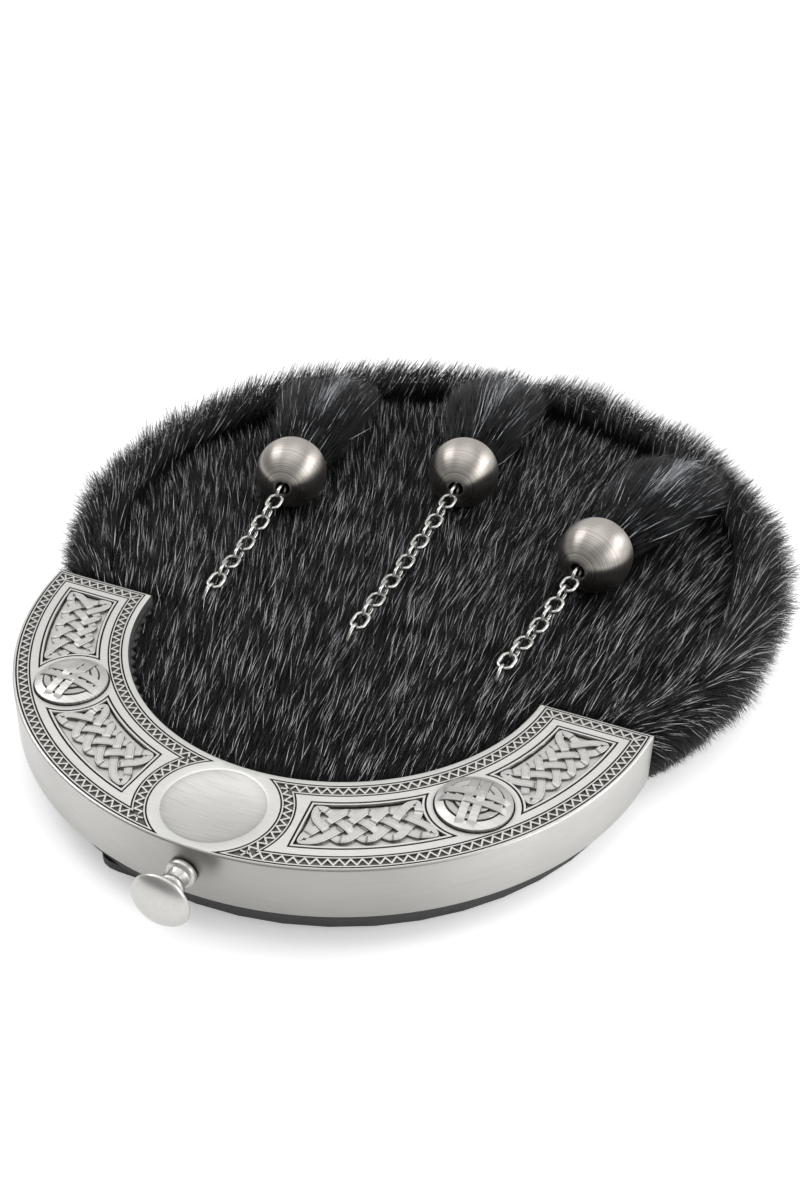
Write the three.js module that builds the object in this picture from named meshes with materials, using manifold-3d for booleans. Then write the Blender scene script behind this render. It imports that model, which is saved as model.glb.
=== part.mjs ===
// A dress sporran pouch lying on its leather back: a fur pouch with a cast metal cantle, three chains and fur tassels.
// Millimetres, +Z up out of the pouch's front, +Y from the cantle towards the bottom of the pouch.
import * as THREE from 'three';
import { mergeVertices } from 'three/addons/utils/BufferGeometryUtils.js';
import Module from 'manifold-3d';

const wasm = await Module();
wasm.setup();

// Driving dimensions. The cantle's half ring is centred on x = 0, y = 0 of the inner group.
const cantleOuterR = 76;
const cantleInnerR = 49.9;
const cantleEndY = -3.3;
const cantleDepth = 13.2;
const faceZ = 22;
const faceWall = 2.4;
const sideWall = 1.8;
const pouchR = 93;
const pouchCentreY = 48;
const seamInset = 14;
const furCrestZ = 23.4;
const leatherWall = 2;
const gussetR = 73.1;
const backInset = 0.9;
const gap = 0.3;
const backZ = leatherWall + gap;
const ballR = 9.1;
const ballRoomGap = 1;
const linkLength = 5.6;
const linkWidth = 4.5;
const wireR = 0.43;
const knobTipY = -87.5;
const edging = { teeth: 44, tipR: 48.5, rootR: 49.7, outerR: 53.5, thickness: 1 };

// Past the whole object, for boxes that cut along one plane only.
const far = 200;

// The inner group's shift, which puts the whole object's middle over the origin.
const lockStandOut = 1.2;
const shiftY = -(pouchCentreY + pouchR + lockStandOut + knobTipY) / 2;

// Relief on the cantle's face, as radii, angles from the cantle's end line in degrees, and depths.
const panelR = { inner: 57.1, outer: 69 };
const panelDepth = 0.9;
const ribbonWidth = 1.7;
const panels = [
  { from: 8.5, to: 33, across: 2, along: 5 },
  { from: 47, to: 73.5, across: 2, along: 5 },
];
const boss = { angle: 40.1, radius: 63.2, r: 8.5, height: 2.2 };
const dish = { y: -62.9, r: 11, depth: 1.2 };

const materials = {
  pewter: { color: 0xc3c2be, roughness: 0.36, metalness: 0.95 },
  darkPewter: { color: 0x8d8780, roughness: 0.32, metalness: 0.95 },
  steel: { color: 0xcfd0d2, roughness: 0.22, metalness: 1 },
  fur: { color: 0x121214, roughness: 0.75, metalness: 0 },
  leather: { color: 0x1b1b1c, roughness: 0.6, metalness: 0 },
};

const radians = THREE.MathUtils.degToRad;
const pouch = new THREE.Group();
pouch.position.y = shiftY;

function addPiece(name, geometry, finish) {
  const mesh = new THREE.Mesh(geometry, new THREE.MeshStandardMaterial(materials[finish]));
  mesh.name = name;
  pouch.add(mesh);
  return mesh;
}

// A closed geometry as a solid for joining and cutting, and back.
function toSolid(geometry) {
  const bare = geometry.clone();
  bare.deleteAttribute('normal');
  bare.deleteAttribute('uv');
  const merged = mergeVertices(bare, 1e-4);
  return new wasm.Manifold(new wasm.Mesh({
    numProp: 3,
    vertProperties: new Float32Array(merged.attributes.position.array),
    triVerts: new Uint32Array(merged.index.array),
  }));
}

function toGeometry(solid) {
  const mesh = solid.getMesh();
  const geometry = new THREE.BufferGeometry();
  geometry.setAttribute('position', new THREE.BufferAttribute(new Float32Array(mesh.vertProperties), 3));
  geometry.setIndex(new THREE.BufferAttribute(new Uint32Array(mesh.triVerts), 1));
  geometry.computeVertexNormals();
  return geometry;
}

function joinAll(solids) {
  return solids.reduce((whole, next) => whole.add(next));
}

function boxSolid(low, high) {
  const size = high.map((value, i) => value - low[i]);
  const middle = high.map((value, i) => (value + low[i]) / 2);
  return toSolid(new THREE.BoxGeometry(...size).translate(...middle));
}

function extrudeShape(shape, lowZ, highZ, curveSegments = 12) {
  const options = { depth: highZ - lowZ, bevelEnabled: false, curveSegments };
  const geometry = new THREE.ExtrudeGeometry(shape, options);
  return toSolid(geometry.translate(0, 0, lowZ));
}

// A sector of a ring: the part of it below the line y = lineY.
function ringSector(innerR, outerR, lineY, segments) {
  const start = Math.PI - Math.asin(lineY / outerR);
  const end = 2 * Math.PI + Math.asin(lineY / outerR);
  const innerStart = Math.PI - Math.asin(lineY / innerR);
  const innerEnd = 2 * Math.PI + Math.asin(lineY / innerR);
  const points = [];
  for (let i = 0; i <= segments; i += 1) {
    const angle = start + ((end - start) * i) / segments;
    points.push(new THREE.Vector2(outerR * Math.cos(angle), outerR * Math.sin(angle)));
  }
  for (let i = segments; i >= 0; i -= 1) {
    const angle = innerStart + ((innerEnd - innerStart) * i) / segments;
    points.push(new THREE.Vector2(innerR * Math.cos(angle), innerR * Math.sin(angle)));
  }
  return new THREE.Shape(points);
}

// A closed body lofted through rings of points, with flat ends or, for a closed path, none.
function loft(rings, closedPath = false) {
  const count = rings[0].length;
  const positions = rings.flat().flatMap((point) => [point.x, point.y, point.z]);
  const triangles = [];
  const last = closedPath ? rings.length : rings.length - 1;
  for (let i = 0; i < last; i += 1) {
    const next = (i + 1) % rings.length;
    for (let j = 0; j < count; j += 1) {
      const k = (j + 1) % count;
      const corners = [i * count + j, next * count + j, next * count + k, i * count + k];
      triangles.push(corners[0], corners[1], corners[2], corners[0], corners[2], corners[3]);
    }
  }
  if (!closedPath) {
    for (const [ring, turned] of [[0, false], [rings.length - 1, true]]) {
      const outline = rings[ring];
      const middle = outline.reduce((sum, point) => sum.add(point), new THREE.Vector3()).divideScalar(count);
      const centre = positions.length / 3;
      positions.push(middle.x, middle.y, middle.z);
      for (let j = 0; j < count; j += 1) {
        const pair = [ring * count + j, ring * count + ((j + 1) % count)];
        triangles.push(centre, ...(turned ? pair.reverse() : pair));
      }
    }
  }
  const geometry = new THREE.BufferGeometry();
  geometry.setAttribute('position', new THREE.Float32BufferAttribute(positions, 3));
  geometry.setIndex(triangles);
  return geometry;
}

function lathe(profile, segments) {
  return new THREE.LatheGeometry(profile.map(([r, y]) => new THREE.Vector2(r, y)), segments);
}

// A lathe profile stands along +Y, so this one turns it to stand along +Z.
function uprightLathe(profile, segments) {
  return lathe(profile, segments).rotateX(Math.PI / 2);
}

// A point of the cantle's face: the angle is measured from the end line on one side, towards the dish.
function facePoint(side, angle, radius) {
  const turn = radians(angle);
  return new THREE.Vector2(side * radius * Math.cos(turn), -radius * Math.sin(turn));
}

// A flat knot of one endless ribbon, which bounces between the panel's sides: each step goes one place along and one
// across. These are its turns, each at a side, as shares of the panel's length and width.
function knotTurns(panel) {
  const bounce = (step, top) => top - Math.abs((step % (2 * top)) - top);
  const turns = [];
  for (let step = 0; step < 4 * panel.along * panel.across; step += 1) {
    const u = bounce(step + 1, 2 * panel.along) / (2 * panel.along);
    const v = bounce(step, 2 * panel.across) / (2 * panel.across);
    if (u % 1 === 0 || v % 1 === 0) {
      turns.push([u, v]);
    }
  }
  return turns;
}

function knotRibbon(side, panel) {
  const margin = 1.75;
  const midRadius = (panelR.inner + panelR.outer) / 2;
  const endMargin = THREE.MathUtils.radToDeg(margin / midRadius);
  const points = knotTurns(panel).map(([u, v]) => facePoint(
    side,
    panel.from + endMargin + u * (panel.to - panel.from - 2 * endMargin),
    panelR.inner + margin + v * (panelR.outer - panelR.inner - 2 * margin),
  ));
  const bars = points.map((point, i) => {
    const next = points[(i + 1) % points.length];
    const along = next.clone().sub(point).normalize();
    const half = new THREE.Vector2(-along.y, along.x).multiplyScalar(ribbonWidth / 2);
    const reach = along.clone().multiplyScalar(ribbonWidth * 0.35);
    const outline = [
      point.clone().sub(reach).add(half),
      point.clone().sub(reach).sub(half),
      next.clone().add(reach).sub(half),
      next.clone().add(reach).add(half),
    ];
    return extrudeShape(new THREE.Shape(outline), faceZ - panelDepth - 0.3, faceZ);
  });
  return joinAll(bars);
}

function panelPocket(side, panel) {
  const points = [];
  const steps = 5;
  for (let i = 0; i <= steps; i += 1) {
    points.push(facePoint(side, panel.from + ((panel.to - panel.from) * i) / steps, panelR.outer));
  }
  for (let i = steps; i >= 0; i -= 1) {
    points.push(facePoint(side, panel.from + ((panel.to - panel.from) * i) / steps, panelR.inner));
  }
  return extrudeShape(new THREE.Shape(points), faceZ - panelDepth, faceZ + 1);
}

// A raised boss: a low dome with a four-armed knot of crossing straps on it.
function bossSolid(side) {
  const { r, height } = boss;
  const low = faceZ - 0.6;
  const dome = uprightLathe([[0, low], [r, low], [r, faceZ + 0.5], [r - 0.9, faceZ + 1.1],
    [r * 0.6, faceZ + height * 0.85], [0, faceZ + height]], 12);
  const straps = [45, 135].map((turn) => {
    const strap = new THREE.BoxGeometry(2 * r - 2.6, 2.6, height + 1.1);
    return toSolid(strap.rotateZ(radians(turn)).translate(0, 0, faceZ + (height + 1.1) / 2 - 0.6));
  });
  const whole = joinAll([toSolid(dome), ...straps]);
  const centre = facePoint(side, boss.angle, boss.radius);
  return whole.translate([centre.x, centre.y, 0]);
}

function makeCantle() {
  const segments = 36;
  const low = faceZ - cantleDepth;
  const openR = cantleInnerR - 2;
  let solid = extrudeShape(ringSector(cantleInnerR, cantleOuterR, cantleEndY, segments), low, faceZ);
  const hollow = ringSector(openR, cantleOuterR - sideWall, cantleEndY - sideWall, segments);
  solid = solid.subtract(extrudeShape(hollow, low - 1, faceZ - faceWall));
  for (const side of [-1, 1]) {
    for (const panel of panels) {
      const centre = facePoint(side, boss.angle, boss.radius);
      const landR = boss.r + 1.6;
      const land = [[0, faceZ - 3], [landR, faceZ - 3], [landR, faceZ + 3], [0, faceZ + 3]];
      const bossLand = toSolid(uprightLathe(land, 14)).translate([centre.x, centre.y, 0]);
      const pocket = panelPocket(side, panel).subtract(bossLand);
      solid = solid.subtract(pocket).add(knotRibbon(side, panel).subtract(bossLand));
    }
    solid = solid.add(bossSolid(side));
  }
  const rise = (z) => [dish.r * Math.sqrt(Math.max(0, (z - faceZ + dish.depth) / dish.depth)), z];
  const bowl = [rise(faceZ - dish.depth), rise(faceZ - dish.depth * 0.85), rise(faceZ - dish.depth * 0.45),
    rise(faceZ), [dish.r, faceZ + 1], [0, faceZ + 1]];
  solid = solid.subtract(toSolid(uprightLathe(bowl, 18)).translate([0, dish.y, 0]));
  addPiece('cantle', toGeometry(solid), 'pewter');
}

// The knob stands out along -Y from the middle of the side wall.
function makeKnob() {
  const length = -knobTipY - cantleOuterR - gap;
  const foot = [[0, 0], [3.3, 0], [3.3, 1.4]];
  const stem = [[2, 2.2], [2, 5], [2.8, 5.4], [2.8, 6.6], [2, 7]];
  const head = [[3, 8], [6, 8.4], [6.1, 9.3], [4.4, 10.5], [0, length]];
  const belowFace = 7.2;
  addPiece('knob', lathe([...foot, ...stem, ...head], 11).rotateX(Math.PI), 'pewter')
    .position.set(0, -cantleOuterR - gap, faceZ - belowFace);
}

function makePinkedEdging() {
  const { teeth, tipR, rootR, outerR, thickness } = edging;
  const high = faceZ - faceWall - gap;
  const endTurn = Math.asin((cantleEndY - sideWall - gap) / tipR);
  const start = Math.PI - endTurn;
  const end = 2 * Math.PI + endTurn;
  const at = (r, i) => {
    const angle = start + ((end - start) * i) / (2 * teeth);
    return new THREE.Vector2(r * Math.cos(angle), r * Math.sin(angle));
  };
  const points = [];
  for (let i = 0; i <= 2 * teeth; i += 4) {
    points.push(at(outerR, i));
  }
  for (let i = 2 * teeth; i >= 0; i -= 1) {
    points.push(at(i % 2 ? tipR : rootR, i));
  }
  const strip = extrudeShape(new THREE.Shape(points), high - thickness, high);
  addPiece('pinked_edging', toGeometry(strip), 'leather');
}

// The height of the short fur over the front panel: a low crown that falls into the seam along the rim.
function furHeight(x, y) {
  const out = Math.hypot(x, y - pouchCentreY);
  const seamR = pouchR - seamInset;
  const crown = furCrestZ - 0.6 - 0.9 * (out / seamR) ** 2;
  const valley = 3.2 * THREE.MathUtils.smoothstep(out, seamR - 13, seamR);
  const towardsCantle = THREE.MathUtils.smoothstep(y, -2, 18);
  return crown - valley * towardsCantle;
}

// A slab whose top is a field of pointed tufts, each leaning towards the bottom of the pouch as the hair does.
function tuftedSlab() {
  const tuft = { width: 9, length: 11.4, lean: 3.8, height: 1.1 };
  const reach = { x: 80, low: -76, high: 128 };
  const columns = Math.ceil((2 * reach.x) / tuft.width);
  const rows = Math.ceil((reach.high - reach.low) / tuft.length);
  const lowZ = 2;
  const index = (i, j, top) => (j * (columns + 1) + i) * 2 + top;
  const positions = [];
  for (let j = 0; j <= rows; j += 1) {
    for (let i = 0; i <= columns; i += 1) {
      const isTip = (i + j) % 2 === 0 && j > 0 && j < rows;
      const x = (i - columns / 2) * tuft.width;
      const y = reach.low + j * tuft.length;
      const tipY = y + (isTip ? tuft.lean : 0);
      positions.push(x, y, lowZ, x, tipY, furHeight(x, y) + (isTip ? tuft.height : -tuft.height));
    }
  }
  const triangles = [];
  const quad = (a, b, c, d) => triangles.push(a, b, c, a, c, d);
  for (let j = 0; j < rows; j += 1) {
    for (let i = 0; i < columns; i += 1) {
      const top = [index(i, j, 1), index(i + 1, j, 1), index(i + 1, j + 1, 1), index(i, j + 1, 1)];
      if ((i + j) % 2 === 0) {
        quad(top[1], top[2], top[3], top[0]);
      } else {
        quad(...top);
      }
      quad(index(i, j, 0), index(i, j + 1, 0), index(i + 1, j + 1, 0), index(i + 1, j, 0));
    }
  }
  for (let i = 0; i < columns; i += 1) {
    quad(index(i, 0, 0), index(i + 1, 0, 0), index(i + 1, 0, 1), index(i, 0, 1));
    quad(index(i + 1, rows, 0), index(i, rows, 0), index(i, rows, 1), index(i + 1, rows, 1));
  }
  for (let j = 0; j < rows; j += 1) {
    quad(index(0, j + 1, 0), index(0, j, 0), index(0, j, 1), index(0, j + 1, 1));
    quad(index(columns, j, 0), index(columns, j + 1, 0), index(columns, j + 1, 1), index(columns, j, 1));
  }
  const geometry = new THREE.BufferGeometry();
  geometry.setAttribute('position', new THREE.Float32BufferAttribute(positions, 3));
  geometry.setIndex(triangles);
  return toSolid(geometry);
}

// The front panel's outline: the round pouch inside its seam, joined to the part that runs under the cantle.
function frontOutline() {
  const seam = pouchR - seamInset - gap;
  const disc = new THREE.Shape().absarc(0, pouchCentreY, seam, 0, 2 * Math.PI);
  const under = new THREE.Shape().absarc(0, 0, gussetR - leatherWall - gap, 0, 2 * Math.PI);
  const below = boxSolid([-far, -far, -far], [far, cantleEndY + gap, far]);
  const above = boxSolid([-far, cantleEndY + gap, -far], [far, far, far]);
  return extrudeShape(disc, 0, 40, 32).intersect(above).add(extrudeShape(under, 0, 40, 20).intersect(below));
}

const tassels = [
  { side: 'left', anchor: [-37.8, 3], ball: [-40.2, 53.2, 29], turn: 11, length: 57, links: 10 },
  { side: 'middle', anchor: [1, 2], ball: [1.2, 72.6, 29], turn: 8, length: 56, links: 14 },
  { side: 'right', anchor: [37.8, 3], ball: [45.2, 49.2, 29], turn: -12, length: 56, links: 10 },
];

// A tail's sections, from its head inside the ball to its tips: where each lies, in mm for the head and otherwise as a
// share of the tail's length, with its half width, half height and lowest level.
const tailHead = [
  { at: 1.5, halfWidth: 6.8, halfHeight: 6.8, lowZ: 22.2 },
  { at: 9, halfWidth: 7.2, halfHeight: 6.4, lowZ: 22.7 },
];
const tailSpread = [
  { share: 0.25, halfWidth: 8.4, halfHeight: 6, lowZ: 23.6 },
  { share: 0.45, halfWidth: 10.6, halfHeight: 5.4, lowZ: 24.8 },
  { share: 0.67, halfWidth: 13.4, halfHeight: 4.3, lowZ: 25.8 },
  { share: 0.87, halfWidth: 15.2, halfHeight: 2.9, lowZ: 26.6 },
  { share: 1, halfWidth: 15.6, halfHeight: 1.1, lowZ: 27.2 },
];

// One tassel's fur: strips that run from the head to a row of pointed tips.
function tailGeometry(tassel, grow = 0) {
  const strips = 8;
  const turn = radians(90 + tassel.turn);
  const along = new THREE.Vector3(Math.cos(turn), Math.sin(turn), 0);
  const across = new THREE.Vector3(along.y, -along.x, 0);
  const spread = tailSpread.map((section) => ({ ...section, at: section.share * tassel.length }));
  const rings = [...tailHead, ...spread].map((section, k) => {
    const ring = [];
    for (let j = 0; j < 2 * strips; j += 1) {
      const angle = (Math.PI * j) / strips;
      const isRidge = j % 2 === 0;
      const groove = k === 0 || grow > 0 || isRidge ? 1 : 0.84;
      const tipReach = section.share === 1 && !isRidge ? -8 : 0;
      const wide = (section.halfWidth * groove + grow) * Math.cos(angle);
      const high = (section.halfHeight * groove + grow) * Math.sin(angle);
      ring.push(new THREE.Vector3(...tassel.ball.slice(0, 2), section.lowZ + section.halfHeight + high)
        .addScaledVector(along, section.at + tipReach)
        .addScaledVector(across, wide));
    }
    return ring;
  });
  return loft(rings);
}

// The ball is a thin hollow shell, drilled for the chain and open towards the tail.
function ballGeometry(tassel) {
  const wall = 1;
  const holeR = 3.2;
  const mouthR = 7.9;
  const outerLow = Math.asin(holeR / ballR);
  const outerHigh = Math.PI - Math.asin(mouthR / ballR);
  const innerR = ballR - wall;
  const arc = (r, from, to, steps) => Array.from({ length: steps + 1 }, (_, i) => {
    const angle = from + ((to - from) * i) / steps;
    return [r * Math.sin(angle), -r * Math.cos(angle)];
  });
  const outer = arc(ballR, outerLow, outerHigh, 4);
  const inner = arc(innerR, Math.PI - Math.asin(mouthR / innerR), Math.asin(holeR / innerR), 3);
  return lathe([...outer, ...inner, outer[0]], 12)
    .rotateZ(radians(tassel.turn))
    .translate(...tassel.ball);
}

// A link's wire, bent to an oval of two half circles, with a corner of its section turned inwards.
function linkGeometry() {
  const bends = 10;
  const sides = 5;
  const bendR = linkWidth / 2 - wireR;
  const straight = (linkLength - linkWidth) / 2;
  const rings = Array.from({ length: bends }, (_, i) => {
    const angle = (2 * Math.PI * i) / bends;
    const out = new THREE.Vector3(Math.cos(angle), Math.sin(angle), 0);
    const centre = out.clone().multiplyScalar(bendR);
    centre.x += Math.sign(Math.round(out.x * 1e6)) * straight;
    return Array.from({ length: sides }, (__, j) => {
      const turn = Math.PI + (2 * Math.PI * j) / sides;
      return centre.clone().addScaledVector(out, wireR * Math.cos(turn)).add(
        new THREE.Vector3(0, 0, wireR * Math.sin(turn)),
      );
    });
  });
  return loft(rings, true);
}

// The chain's way, from the hide inside its small hole in the fur to just inside the ball.
function chainPath(tassel) {
  const [x, y] = tassel.anchor;
  const turn = radians(90 + tassel.turn);
  const [bx, by, bz] = tassel.ball;
  const holeX = bx - (ballR - 1.6) * Math.cos(turn);
  const holeY = by - (ballR - 1.6) * Math.sin(turn);
  const restZ = furHeight(x, y) + 0.9;
  return new THREE.CatmullRomCurve3([
    new THREE.Vector3(x, y - 1.2, restZ - 2.6),
    new THREE.Vector3(x + 0.3, y + 2.4, restZ),
    new THREE.Vector3(x + (holeX - x) * 0.45, y + (holeY - y) * 0.45, restZ + 0.9),
    new THREE.Vector3(holeX, holeY, bz - 0.6),
  ], false, 'centripetal');
}

function chainSolid(tassel) {
  const path = chainPath(tassel);
  const pitch = path.getLength() / (tassel.links - 0.25);
  const link = linkGeometry();
  const stretch = pitch / (linkLength - 4 * wireR + 0.12);
  const links = Array.from({ length: tassel.links }, (_, i) => {
    const t = Math.min(1, ((i + 0.4) * pitch) / path.getLength());
    const along = path.getTangentAt(t);
    const side = new THREE.Vector3(0, 0, 1).cross(along).normalize();
    const up = along.clone().cross(side);
    const turned = i % 2 ? [side, up] : [up, side.clone().negate()];
    const place = new THREE.Matrix4().makeBasis(along, turned[0], turned[1]).setPosition(path.getPointAt(t));
    return toSolid(link.clone().scale(stretch, 1, 1).applyMatrix4(place));
  });
  return joinAll(links);
}

// The room that the chain's links press and part in the fur.
function chainRoom(tassel) {
  const path = chainPath(tassel);
  const roomR = linkWidth / 2 + 0.8;
  const steps = 7;
  const rings = Array.from({ length: steps + 1 }, (_, i) => {
    const t = (i / steps) ** 1.7;
    const along = path.getTangentAt(t);
    const side = new THREE.Vector3(0, 0, 1).cross(along).normalize();
    const down = side.clone().cross(along);
    const centre = path.getPointAt(t).addScaledVector(along, i === 0 ? -linkWidth * 0.45 : 0);
    return Array.from({ length: 6 }, (__, j) => centre.clone()
      .addScaledVector(side, roomR * Math.cos((Math.PI * j) / 3))
      .addScaledVector(down, roomR * Math.sin((Math.PI * j) / 3)));
  });
  return toSolid(loft(rings));
}

function makeTassels() {
  for (const tassel of tassels) {
    addPiece(`ball_${tassel.side}`, ballGeometry(tassel), 'darkPewter');
    addPiece(`tail_${tassel.side}`, tailGeometry(tassel), 'fur');
    addPiece(`chain_${tassel.side}`, toGeometry(chainSolid(tassel)), 'steel');
  }
}

function makeFurFront() {
  const hideUnder = [[120, 16.6], [62, 17], [0, 18]];
  const inside = toSolid(uprightLathe([[0, -5], [120, -5], ...hideUnder], 24)).translate([0, pouchCentreY, 0]);
  const underFace = faceZ - faceWall - gap;
  const roomSector = ringSector(edging.tipR - 2 * gap, far, cantleEndY + gap, 40);
  const cantleRoom = extrudeShape(roomSector, underFace - edging.thickness - gap, far);
  const endLowY = cantleEndY - sideWall - gap;
  const endInnerX = cantleInnerR - 0.5;
  const endRoom = boxSolid([endInnerX, endLowY, 0], [far, cantleEndY + gap, far]);
  const mirroredEndRoom = boxSolid([-far, endLowY, 0], [-endInnerX, cantleEndY + gap, far]);
  let solid = tuftedSlab().intersect(frontOutline()).subtract(inside).subtract(cantleRoom);
  solid = solid.subtract(endRoom).subtract(mirroredEndRoom);
  for (const tassel of tassels) {
    const ballRoom = new THREE.SphereGeometry(ballR + ballRoomGap, 10, 6).translate(...tassel.ball);
    solid = solid.subtract(toSolid(ballRoom)).subtract(toSolid(tailGeometry(tassel, 0.7)));
    solid = solid.subtract(chainRoom(tassel));
  }
  addPiece('fur_front', toGeometry(solid), 'fur');
}

// The rim's section, as distances in from the outline and heights, from the seam over the rim and back inside. Away
// from the cantle the pouch is fuller, and its rim stands higher by the rise.
const rimSection = [
  { inset: seamInset, z: 19.8, lock: 0, rise: 0.4 },
  { inset: 11.4, z: 22.2, lock: 0.6, rise: 1.6 },
  { inset: 7.8, z: furCrestZ, lock: 0.9, rise: 2.6 },
  { inset: 4.2, z: 22.4, lock: 1.1, rise: 3 },
  { inset: 1.3, z: 19.2, lock: lockStandOut, rise: 2.8 },
  { inset: 0, z: 14.4, lock: lockStandOut, rise: 1.8 },
  { inset: 1, z: 8.6, lock: lockStandOut, rise: 0.8 },
  { inset: 3.4, z: 3.8, lock: 0.8, rise: 0 },
  { inset: 6.2, z: 0, lock: 0, rise: 0 },
  { inset: 9, z: 0, lock: 0, rise: 0 },
  { inset: 6.2, z: 8, lock: 0, rise: 0 },
  { inset: 8.6, z: 14.4, lock: 0, rise: 0 },
  { inset: seamInset, z: 16.6, lock: 0, rise: 0 },
];

function makeFurBand() {
  const locks = 27;
  const overlap = 40;
  const rings = Array.from({ length: 2 * locks + 1 }, (_, i) => {
    const angle = radians(-overlap + ((180 + 2 * overlap) * i) / (2 * locks));
    const fuller = THREE.MathUtils.smoothstep(pouchCentreY + pouchR * Math.sin(angle), -2, 26);
    return rimSection.map((place, j) => {
      const isRidge = (i + Math.floor(j / 2)) % 2 === 0;
      const push = isRidge ? place.lock : -0.3 * place.lock;
      const out = new THREE.Vector2(j < 4 ? 0.4 : 1, j < 4 ? 1 : 0).multiplyScalar(push);
      const radius = pouchR - place.inset + out.x;
      const z = place.z + place.rise * fuller + out.y;
      return new THREE.Vector3(radius * Math.cos(angle), pouchCentreY + radius * Math.sin(angle), z);
    }).reverse();
  });
  const ends = boxSolid([-far, cantleEndY + gap, -far], [far, far, far]);
  const solid = toSolid(loft(rings)).intersect(ends);
  addPiece('fur_band', toGeometry(solid), 'fur');
}

function makeLeather() {
  const wall = extrudeShape(
    ringSector(gussetR - leatherWall, gussetR, cantleEndY, 30),
    backZ + leatherWall + gap,
    faceZ - faceWall - gap,
  );
  const room = boxSolid([-far, cantleEndY - sideWall - gap, faceZ - cantleDepth - gap], [far, far, far]);
  addPiece('leather_gusset', toGeometry(wall.subtract(room)), 'leather');

  const mouth = { halfWidth: 40, lowY: -53, highY: -28 };
  const panelEdgeR = pouchR - 9.4;
  const disc = new THREE.Shape().absarc(0, pouchCentreY, panelEdgeR, 0, 2 * Math.PI);
  const top = new THREE.Shape().absarc(0, 0, gussetR - backInset, 0, 2 * Math.PI);
  const high = backZ + leatherWall;
  const lowHalf = boxSolid([-far, -far, -far], [far, cantleEndY, far]);
  const highHalf = boxSolid([-far, cantleEndY, -far], [far, far, far]);
  const mouthCut = boxSolid([-mouth.halfWidth, mouth.lowY, -far], [mouth.halfWidth, mouth.highY, far]);
  const back = extrudeShape(disc, backZ, high, 24).intersect(highHalf)
    .add(extrudeShape(top, backZ, high, 24).intersect(lowHalf)).subtract(mouthCut);
  addPiece('back_panel', toGeometry(back), 'leather');

  // The flap narrows from its sewn edge to the tongue, which shows below the knob.
  const tongue = { left: -27, right: 13, shoulderY: -61.5, endY: -69, corner: 6 };
  const flapHalf = 50;
  const flapSewnY = -14;
  const flapSideY = -46.5;
  const flap = new THREE.Shape();
  flap.moveTo(-flapHalf, flapSewnY);
  flap.lineTo(-flapHalf, flapSideY);
  flap.quadraticCurveTo(-flapHalf + 6, tongue.shoulderY + 4.5, tongue.left, tongue.shoulderY);
  flap.lineTo(tongue.left, tongue.endY + tongue.corner);
  flap.quadraticCurveTo(tongue.left, tongue.endY, tongue.left + tongue.corner, tongue.endY);
  flap.lineTo(tongue.right - tongue.corner, tongue.endY);
  flap.quadraticCurveTo(tongue.right, tongue.endY, tongue.right, tongue.endY + tongue.corner);
  flap.lineTo(tongue.right, tongue.shoulderY);
  flap.quadraticCurveTo(flapHalf - 6, tongue.shoulderY + 4.5, flapHalf, flapSideY);
  flap.lineTo(flapHalf, flapSewnY);
  addPiece('closing_flap', toGeometry(extrudeShape(flap, 0, leatherWall, 5)), 'leather');

  const half = { x: 10, y: 28, corner: 4 };
  const loopPlace = { x: 52, y: 26 };
  for (const [name, side] of [['left', -1], ['right', 1]]) {
    const strap = new THREE.Shape();
    strap.moveTo(-half.x, -half.y + half.corner);
    strap.quadraticCurveTo(-half.x, -half.y, -half.x + half.corner, -half.y);
    strap.lineTo(half.x - half.corner, -half.y);
    strap.quadraticCurveTo(half.x, -half.y, half.x, -half.y + half.corner);
    strap.lineTo(half.x, half.y - half.corner);
    strap.quadraticCurveTo(half.x, half.y, half.x - half.corner, half.y);
    strap.lineTo(-half.x + half.corner, half.y);
    strap.quadraticCurveTo(-half.x, half.y, -half.x, half.y - half.corner);
    addPiece(`strap_loop_${name}`, toGeometry(extrudeShape(strap, 0, leatherWall, 4)), 'leather')
      .position.set(side * loopPlace.x, loopPlace.y, 0);
  }
}

makeCantle();
makeKnob();
makePinkedEdging();
makeFurFront();
makeFurBand();
makeLeather();
makeTassels();

const sporran = new THREE.Group();
sporran.add(pouch);

export default sporran;
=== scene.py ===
import math
import bmesh
import bpy
import numpy as np
from mathutils import Matrix, Quaternion, Vector


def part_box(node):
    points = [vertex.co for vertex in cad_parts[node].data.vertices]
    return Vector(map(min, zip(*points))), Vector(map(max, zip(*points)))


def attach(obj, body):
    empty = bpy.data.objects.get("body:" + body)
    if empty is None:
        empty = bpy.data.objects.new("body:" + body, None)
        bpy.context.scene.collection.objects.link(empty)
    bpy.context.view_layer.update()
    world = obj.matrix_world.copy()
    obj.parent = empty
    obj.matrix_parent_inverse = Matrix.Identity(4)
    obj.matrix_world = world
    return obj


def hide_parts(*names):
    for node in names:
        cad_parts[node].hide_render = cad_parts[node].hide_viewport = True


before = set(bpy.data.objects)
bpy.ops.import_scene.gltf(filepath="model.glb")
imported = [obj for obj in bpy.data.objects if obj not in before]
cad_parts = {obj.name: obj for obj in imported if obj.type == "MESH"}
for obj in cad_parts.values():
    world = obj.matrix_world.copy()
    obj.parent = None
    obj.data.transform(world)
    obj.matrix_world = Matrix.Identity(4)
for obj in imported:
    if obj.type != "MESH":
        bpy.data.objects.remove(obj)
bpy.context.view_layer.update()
print("frame loaded")

# Sizes are millimetres from the cantle's centre, and turned to metres where a mesh is made.
mm = 0.001
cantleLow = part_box("cantle")[0]
cantleOuterR = 76
cantleDepth = 13.2
shiftY = cantleLow.y / mm + cantleOuterR
faceZ = cantleLow.z / mm + cantleDepth


def toMetres(x, y, z):
    return x * mm, (y + shiftY) * mm, z * mm  # from the cantle's centre to the shared frame


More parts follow.
